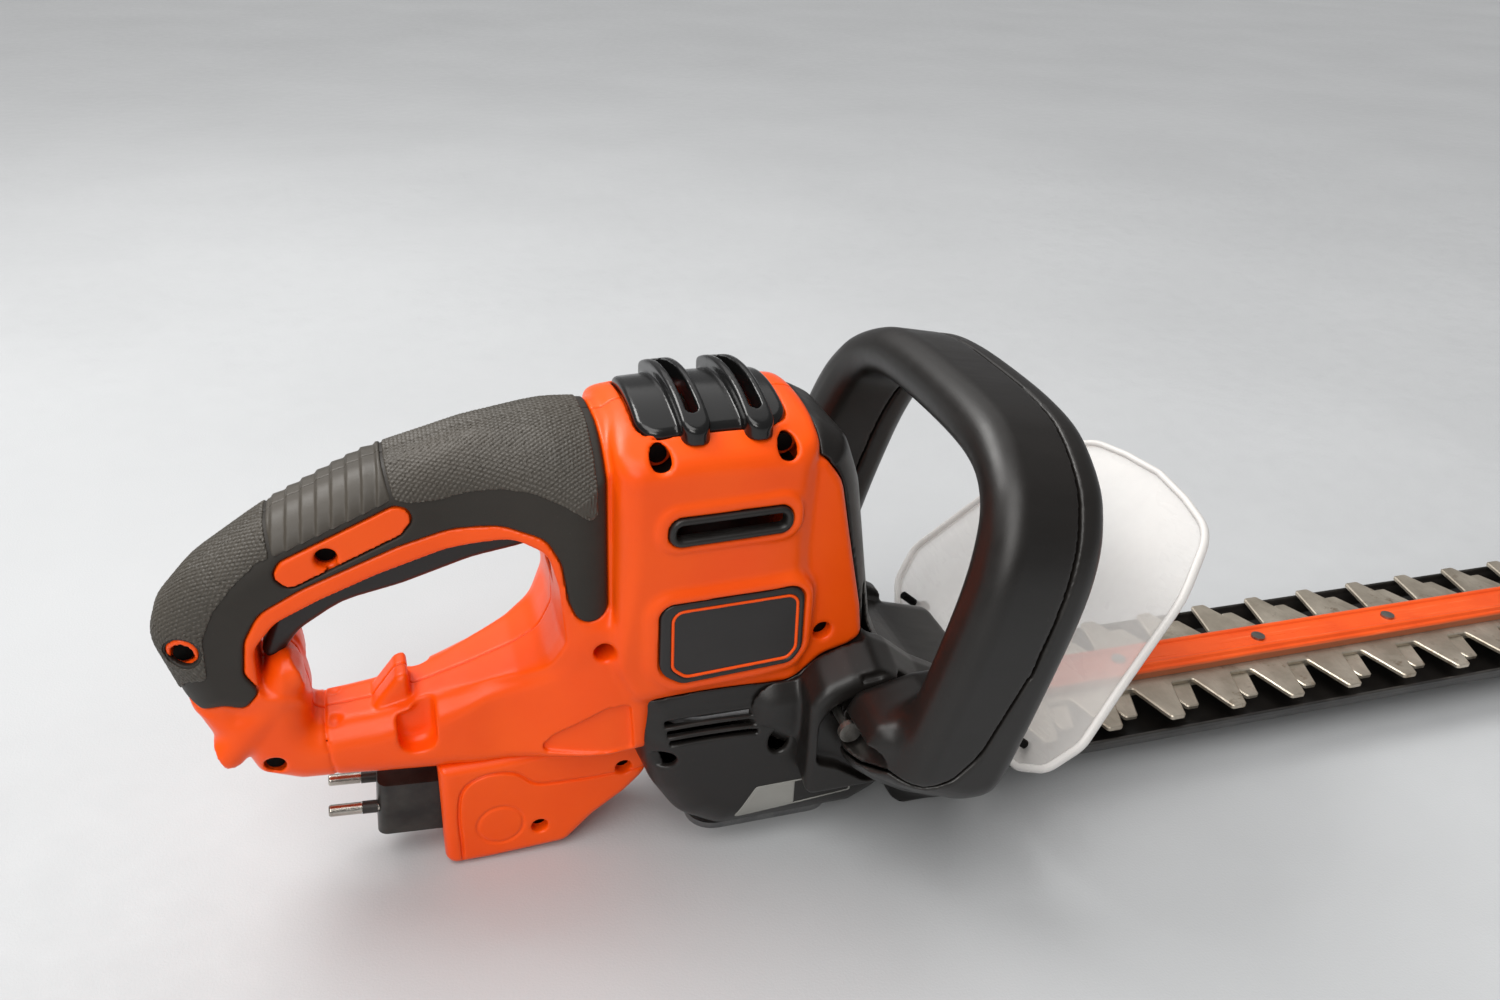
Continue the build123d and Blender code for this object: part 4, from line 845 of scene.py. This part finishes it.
def vent_cap(X, Y, Z):
    side = np.abs(Y)
    dome = np.hypot(Y, Z - 141.5 + 0.0012 * (X + 4.0) ** 2)
    cap = prism(Flat(COVER_PLAN)(X, Y) + 0.25, dome - 60.2, 2.0)
    for x in (-13.0, 11.0):
        across = np.abs(X - x + 0.035 * Y)
        plan = np.hypot(np.maximum(side - 29.5, 0.0), across) - 5.4
        cap = join(cap, prism(plan, dome - 65.4, 1.6), 1.2)
        hole = np.hypot(np.maximum(side - 24.5, 0.0), across) - 2.3
        cap = cut(cap, hole, 0.7)
    return np.maximum(np.maximum(cap, 191.0 - Z), 56.5 - dome)


def bezel(X, Y, Z):
    ring = prism(Flat(VENT_HOLE)(X, Z) + 0.25, np.abs(np.abs(Y) - 39.6) - 2.6, 1.4)
    hole = Flat(VENT_HOLE)(X, Z) + 3.5 - 0.5 * np.maximum(np.abs(Y) - 40.4, 0.0)
    return np.maximum(cut(ring, hole, 0.8), Y + 20.0)


BADGE_LINE = rounded([(-21.8, 125.0, 4.5), (28.2, 126.4, 4.5), (28.6, 101.5, 5), (25.4, 97.2, 4), (-16.6, 94.8, 5),
                      (-21.8, 99.4, 4)])


def badge_plate(X, Y, Z):
    plate = prism(Flat(BADGE)(X, Z) + 0.1, np.abs(Y + 40.0) - 1.5, 1.0)
    return cut(plate, prism(Flat(BADGE_LINE)(X, Z) - 0.9, np.abs(Y + 43.0) - 2.2, 0.5), 0.5)


def badge_line(X, Y, Z):
    return prism(np.abs(Flat(BADGE_LINE)(X, Z)) - 0.65, np.abs(Y + 40.7) - 0.7, 0.3)


GUARD = rounded(with_mirror([(50, 4.5, 4), (64, 7, 10), (78, 17, 14), (84, 36, 14), (77, 63, 60), (66, 108, 50),
                             (48, 137, 24), (0, 147, 200)]))
GUARD_LEAN = radians(40.0)


def lean_guard(places):
    """Bow the flat guard, (through its thickness, y, up its slope), and lean it back into its place."""
    n, y, s = places.T
    n = n - 0.0009 * y ** 2 + 0.0004 * (s - 60.0) ** 2
    x = 123.0 + n * cos(GUARD_LEAN) + s * sin(GUARD_LEAN)
    return np.stack([x, y, 30.0 - n * sin(GUARD_LEAN) + s * cos(GUARD_LEAN)], 1)


# ---------------------------------------------------------------- trigger and plug cover

PADDLE = rounded([(-171, 108, 3), (-165, 105.5, 4), (-156, 117, 16), (-140, 127, 30), (-118, 131.5, 60),
                  (-92, 139.5, 50), (-76, 142, 12), (-66, 144, 5), (-62.5, 154, 6), (-68, 157.5, 4), (-110, 152, 4),
                  (-160, 134, 6)])
COVER = rounded([(-112, 51.5, 2.5), (-112, 0.3, 5), (-94, 0.3, 4), (-62, 2.0, 8), (-50, 14, 12), (-36, 24, 16),
                 (-28, 32, 9), (-24, 42, 8), (-27, 57, 4), (-70, 53, 4), (-92, 52, 6)])
COVER_GROOVE = through([(-105.1, -4), (-105.3, 12), (-105.2, 30), (-102.2, 41), (-93, 45.6), (-82, 44.2), (-74, 37.4),
                        (-63.5, 36), (-46.6, 35.6), (-22, 36.6)], closed=False)
PLUG_ROOM = rounded([(-142, 10.5, 0), (-100, 12.5, 0), (-100, 38, 0), (-142, 45, 0)])
WIRE_ROOM = rounded([(-104, 24, 0), (-76, 24, 0), (-30, 46, 0), (-30, 70, 0), (-60, 58, 0), (-104, 36, 0)])


def trigger_paddle(X, Y, Z):
    whole = prism(Flat(PADDLE)(X, Z), np.abs(Y) - 8.7, 3.2)
    return np.maximum(whole, 1.6 - np.hypot(X + 67.0, Z - 153.0))


def plug_cover_half(X, Y, Z):
    side = np.abs(Y)
    whole = prism(Flat(COVER)(X, Z), side - 21.6, 4.6)
    groove = Flat(COVER_GROOVE, closed=False)(X, Z)
    whole = cut(whole, prism(groove - 0.6, np.abs(side - 24.0) - 3.7, 0.3), 0.5)
    ring = np.abs(np.hypot(X + 89.0, Z - 18.5) - 9.4) - 0.6
    whole = cut(whole, prism(ring, np.abs(side - 24.0) - 3.0, 0.2), 0.5)
    for x, z in ((-73.0, 14.0), (-37.0, 38.0)):
        whole = cut(whole, np.maximum(rod(X - x, Z - z, 3.4), 15.6 - side), 1.2)
    whole = cut(whole, prism(Flat(PLUG_ROOM)(X, Z), side - 13.6))
    whole = cut(whole, prism(Flat(WIRE_ROOM)(X, Z), side - 7.0))
    return np.maximum(whole, Y + 0.1)


# ---------------------------------------------------------------- textured panels of the grip

KNURL_FRONT = rounded([(-48.2, 225, 0), (-48.2, 166.5, 2), (-50.8, 164, 3), (-60, 170.6, 8), (-70.4, 174.9, 10),
                       (-81, 176, 10), (-92, 174.6, 20), (-102.3, 171.6, 20), (-112, 171.4, 4), (-118, 173.2, 2),
                       (-124.5, 205, 0), (-124.5, 225, 0)])
RIBS = rounded([(-119, 173, 1), (-125.6, 205, 0), (-125.6, 225, 0), (-165, 225, 0), (-163, 172, 0), (-160.4, 155, 1)])
KNURL_REAR = rounded([(-161.4, 154.4, 1), (-164, 172, 0), (-166, 225, 0), (-235, 225, 0), (-235, 100, 0),
                      (-199.5, 100, 0), (-195.5, 107, 3), (-188.2, 108.4, 2), (-187.4, 125.2, 8), (-182.4, 136.2, 10),
                      (-174.6, 145.2, 10), (-165, 153.6, 6)])


def along_grip(X, Y, Z):
    """How far along the grip's arch, and how far round its section from the middle plane, a point is."""
    along = 140.0 * np.arctan2(-(X + 75.0), Z - 55.0)
    return along, np.abs(Y) - Flat(HULL)(X, Z)


def saw(t):
    return np.abs(t - np.floor(t) - 0.5) * 2.0


KNURL_ALONG, KNURL_ROUND, RIB_PITCH = 3.1, 2.4, 5.1


def knurl_panel(outline):
    def shape(X, Y, Z):
        hull = grip_hull(X, Y, Z)
        u, v = along_grip(X, Y, Z)
        mark = np.minimum(saw(u / KNURL_ALONG + v / KNURL_ROUND), saw(u / KNURL_ALONG - v / KNURL_ROUND))
        lift = 0.10 + 0.62 * np.clip(mark * 2.4, 0.0, 1.0)
        panel = prism(Flat(outline)(X, Z), hull - lift, 0.5)
        panel = cut(panel, hull + 0.9)
        panel = cut(panel, end_hole(X, Z, 6.6))
        return np.maximum(panel, Y + 0.1)
    return shape


def rib_panel(X, Y, Z):
    hull = grip_hull(X, Y, Z)
    step = (X + 119.0 - 0.10 * (Z - 172.0)) / -RIB_PITCH
    slope = step - np.floor(step)
    lift = 0.15 + 0.95 * np.minimum(slope, (1.0 - slope) * 6.0)
    panel = prism(Flat(RIBS)(X, Z), hull - lift, 0.5)
    panel = cut(panel, Flat(LOZENGE)(X, Z) - 1.0, 0.6)
    panel = cut(panel, hull + 0.9)
    return np.maximum(panel, Y + 0.1)


# ---------------------------------------------------------------- blades, bar, sheath

TOOTH_PITCH, TOOTH_LEAN = 34.3, -2.0
BEVEL_WIDE, BEVEL_TALL = 0.6, 0.5
TAIL_START, TAIL_HALF, FORK_END, FORK_HALF, SPINE_HALF = 1.0, 21.0, 52.6, 15.4, 17.0


def at_height(flat, z):
    return np.column_stack([flat, np.full(len(flat), z)])


def shrunk(outline, middle, share):
    return middle + (outline - middle) * share


def plate_rings(outline, low, high):
    """A flat plate with ground edges: the outline at the bottom and again near the top, then drawn in by the bevel."""
    ahead, behind = np.roll(outline, -1, 0) - outline, outline - np.roll(outline, 1, 0)
    along = ahead / np.linalg.norm(ahead, axis=1)[:, None] + behind / np.linalg.norm(behind, axis=1)[:, None]
    inward = np.stack([-along[:, 1], along[:, 0]], 1) / np.maximum(np.linalg.norm(along, axis=1)[:, None], 0.3)
    return [at_height(outline, low), at_height(outline, high - BEVEL_TALL),
            at_height(outline + inward * BEVEL_WIDE, high)]


def toothed_outline(first, count, reach, base, tip, end):
    """One blade seen from above, anticlockwise: a forked tail round the gear, a spine, and rounded leaning teeth."""
    near = [(TAIL_START, -TAIL_HALF, 2), (126, -TAIL_HALF, 2), (134, -SPINE_HALF, 2)]
    for k in range(count):
        x = first + k * TOOTH_PITCH
        near += [(x - base, -SPINE_HALF, 1.5), (x - tip + TOOTH_LEAN, -reach, 1.9), (x + tip + TOOTH_LEAN, -reach, 1.9),
                 (x + base * 0.9, -SPINE_HALF, 1.5)]
    near += [(end - 10, -SPINE_HALF, 6), (end, -8, 5)]
    far = [(x, -y, r) for x, y, r in reversed(near)]
    fork = [(TAIL_START, FORK_HALF, 0), (FORK_END, FORK_HALF, 3), (FORK_END, -FORK_HALF, 3),
            (TAIL_START, -FORK_HALF, 0)]
    return rounded(near + far + fork)


def loft(name, rings, slot, body, stands_for=(), smooth=False, hoop=False):
    """One piece from rings of points in design millimetres, joined in order: capped at both ends, or a closed hoop."""
    count, total = len(rings[0]), len(rings[0]) * len(rings)
    places = (np.concatenate(rings) + np.array((SHIFT_X, 0.0, 0.0))) * MM
    faces = [] if hoop else [tuple(range(count)), tuple(range(total - count, total))]
    for start in range(0, total if hoop else total - count, count):
        after = (start + count) % total
        for k in range(count):
            j = (k + 1) % count
            faces.append((start + k, start + j, after + j, after + k))
    mesh = bpy.data.meshes.new(name)
    mesh.from_pydata(places.tolist(), [], faces)
    bm = bmesh.new()
    bm.from_mesh(mesh)
    bmesh.ops.recalc_face_normals(bm, faces=bm.faces[:])
    bm.to_mesh(mesh)
    bm.free()
    mesh.polygons.foreach_set("use_smooth", np.full(len(mesh.polygons), smooth))
    return mount(name, mesh, slot, body, stands_for)


def even(outline, spacing):
    """The same closed outline with its points evenly spaced."""
    ends = np.concatenate([outline, outline[:1]])
    run = np.concatenate([[0.0], np.cumsum(np.linalg.norm(np.diff(ends, axis=0), axis=1))])
    at = np.linspace(0.0, run[-1], int(run[-1] / spacing), endpoint=False)
    return np.stack([np.interp(at, run, ends[:, c]) for c in (0, 1)], 1)


def across_x(x, section):
    """A section of (y, z) points set at x."""
    return np.array([(x, y, z) for y, z in section])


def bar_rings():
    """The bar's section, a flat top between two raised ridges and sloping painted sides, run along x."""
    side = [(11.5, 30.2), (11.5, 33.6), (10.6, 34.6), (9.4, 35.0), (8.6, 36.3), (7.6, 36.6), (6.6, 36.3), (6.0, 35.4),
            (5.2, 35.2), (0.0, 35.2)]
    section = np.array(with_mirror(side))
    middle = section.mean(0)
    return [across_x(x, shrunk(section, middle, share))
            for x, share in ((68.0, 0.94), (68.8, 1.0), (667.2, 1.0), (668.0, 0.94))]


def tray_ring(x, narrow, raised):
    """The sheath's section at x: a shallow tray whose flared walls end in a thin lip under the teeth."""
    outer = [(43.2, 24.9), (43.5, 24.2), (42.6, 21.5), (38.8, 15.2), (36.5, 13.8)]
    inner = [(34.5, 15.8), (37.6, 16.6), (41.2, 22.6), (41.9, 24.4), (42.4, 24.9)]
    inner = [(y, z + (24.85 - z) * raised) for y, z in inner]
    left = [(-y, z) for y, z in outer[::-1]] + [(-y, z) for y, z in inner[::-1]]
    return across_x(x, [(y * narrow, z) for y, z in outer + left + inner])


def tray_rings():
    steps = ((132.0, 1.0, 0.0), (686.0, 1.0, 0.0), (693.0, 0.975, 0.0), (697.5, 0.92, 0.0), (699.0, 0.89, 0.0),
             (700.0, 0.87, 1.0), (702.0, 0.82, 1.0))
    return [tray_ring(*step) for step in steps]


def foot_rings():
    """The solid foot under the sheath's tip, as plan outlines from the floor up."""
    plan = rounded([(642, -20, 6), (698, -20, 8), (698, 20, 8), (642, 20, 6)])
    levels = ((0.0, 0.95), (1.2, 1.0), (13.0, 1.0), (15.0, 1.0))
    return [at_height(shrunk(plan, plan.mean(0), share), z) for z, share in levels]


def guard_ring(flat, n):
    """A flat outline set n off the guard's middle sheet, then bowed and leaned with it."""
    return lean_guard(np.column_stack([np.full(len(flat), n), flat]))


def guard_rings():
    """The guard's sheet: rings from the middle of its underside, round its edge, to the middle of its top."""
    outline = even(GUARD, 2.0)
    middle = np.array((0.0, 70.0))
    shares = [0.01, 0.1, 0.25, 0.4, 0.55, 0.7, 0.8, 0.88, 0.94, 0.97, 0.99]
    levels = [(share, 1.2) for share in shares] + [(1.0, 0.6), (1.0, -0.6)] + [(share, -1.2) for share in shares[::-1]]
    return [guard_ring(shrunk(outline, middle, share), n) for share, n in levels]


def guard_rim():
    """The thick rounded rim that runs round the guard, as rings side by side round its section."""
    outline = even(GUARD, 2.0)
    ahead = np.roll(outline, -1, 0) - np.roll(outline, 1, 0)
    inward = np.stack([-ahead[:, 1], ahead[:, 0]], 1) / np.linalg.norm(ahead, axis=1)[:, None]
    return [guard_ring(outline + inward * (1.3 + 1.7 * cos(turn)), -0.6 + 2.3 * sin(turn))
            for turn in np.linspace(0.0, 2 * pi, 14, endpoint=False)]


def side_pair(base, low, high, pitch, shape, slot, node=None, look=None):
    """A piece on the right side and its mirror on the left, each standing for its own CAD node."""
    ends = (["right_" + node], ["left_" + node]) if node else ((), ())
    right = solid("right_" + base, low, high, pitch, shape, slot, "housing", ends[0])
    left = mirror_of(right, "left_" + base, slot, "housing", ends[1])
    if look:
        dress(right, look)
        dress(left, look)


make_camera()
make_studio()
dress_cad_nodes()
side_pair("housing_skin", (-212, -46, 44), (66, 1.5, 206), 0.85, housing_half, "orange_plastic", "housing_shell")
side_pair("grip_pad", (-214, -42, 84), (-38, 1.5, 204), 0.85, soft_half, "soft_grip_rubber", "soft_grip")
side_pair("inlet_cover_skin", (-114, -24, -1.5), (-22, 1.5, 66), 0.6, plug_cover_half, "orange_plastic", "plug_cover")
solid("trigger_paddle", (-174, -10.5, 104), (-58, 10.5, 160), 0.8, trigger_paddle, "black_plastic", "rear_trigger",
      ["rear_trigger"])
solid("bale_rear_shell", (28, -102, 30), (140, 102, 216), 1.0, bale_rear, "black_plastic", "bail_lever",
      ["bail_switch_lever"])
solid("bale_front_shell", (28, -102, -2), (142, 102, 216), 1.0, bale_front, "black_plastic", "housing",
      ["bale_handle"])
solid("nose_housing", (6, -56, 14), (128, 56, 200), 0.9, front_shell, "black_plastic", "housing", ["front_housing"])
solid("gear_case_skin", (-44, -46, 0.2), (88, 46, 100), 0.78, gear_shell, "black_plastic", "housing", ["gear_case"])
solid("dome_vent_cover", (-36, -38, 184), (30, 38, 217), 0.6, vent_cap, "gloss_black_plastic", "housing",
      ["top_vent_cover"])
side_pair("vent_bezel_ring", (-28, -44, 148), (30, -30, 172), 0.5, bezel, "black_plastic", "vent_bezel")
side_pair("badge_panel", (-30, -44, 90), (34, -36, 133), 0.5, badge_plate, "badge_grey", "badge_plate")
side_pair("badge_outline", (-30, -43, 90), (34, -38.5, 133), 0.4, badge_line, "orange_plastic")
# The knurl and rib panels take the lighter knurl finish, which paints the top light onto the grip rubber.
side_pair("grip_knurl_front", (-127, -40, 160), (-43, 1.2, 200), 0.42,
          knurl_panel(KNURL_FRONT), "soft_grip_rubber", look="knurl")
side_pair("grip_ribs", (-170, -24, 150), (-116, 1.2, 194), 0.45, rib_panel, "soft_grip_rubber", look="knurl")
side_pair("grip_knurl_rear", (-211, -24, 99), (-158, 1.2, 176), 0.42,
          knurl_panel(KNURL_REAR), "soft_grip_rubber", look="knurl")
side_pair("label_silver_panel", (4, -43, 12), (62, -26, 34), 0.4, label_panel, "label_grey", "side_label")
side_pair("label_frame_line", (4, -43, 12), (62, -26, 34), 0.35, label_frame, "label_grey")
loft("clear_hand_guard", guard_rings(), "clear_guard", "housing", ["hand_guard"], smooth=True)
dress(loft("guard_edge_rim", guard_rim(), "clear_guard", "housing", smooth=True, hoop=True), "guard_rim")
loft("upper_blade_ground", plate_rings(toothed_outline(158.7, 16, 41.0, 11.5, 3.9, 688.0), 28.0, 30.0),
     "blade_steel", "blade_upper", ["upper_blade"])
loft("lower_blade_ground", plate_rings(toothed_outline(172.5, 15, 33.5, 8.5, 3.4, 686.0), 25.8, 27.8),
     "blade_steel", "blade_lower", ["lower_blade"])
loft("ridged_orange_bar", bar_rings(), "orange_bar_paint", "housing", ["support_bar"])
loft("flared_sheath_tray", tray_rings(), "black_plastic", "sheath", ["blade_sheath"])
loft("sheath_tip_foot", foot_rings(), "black_plastic", "sheath")
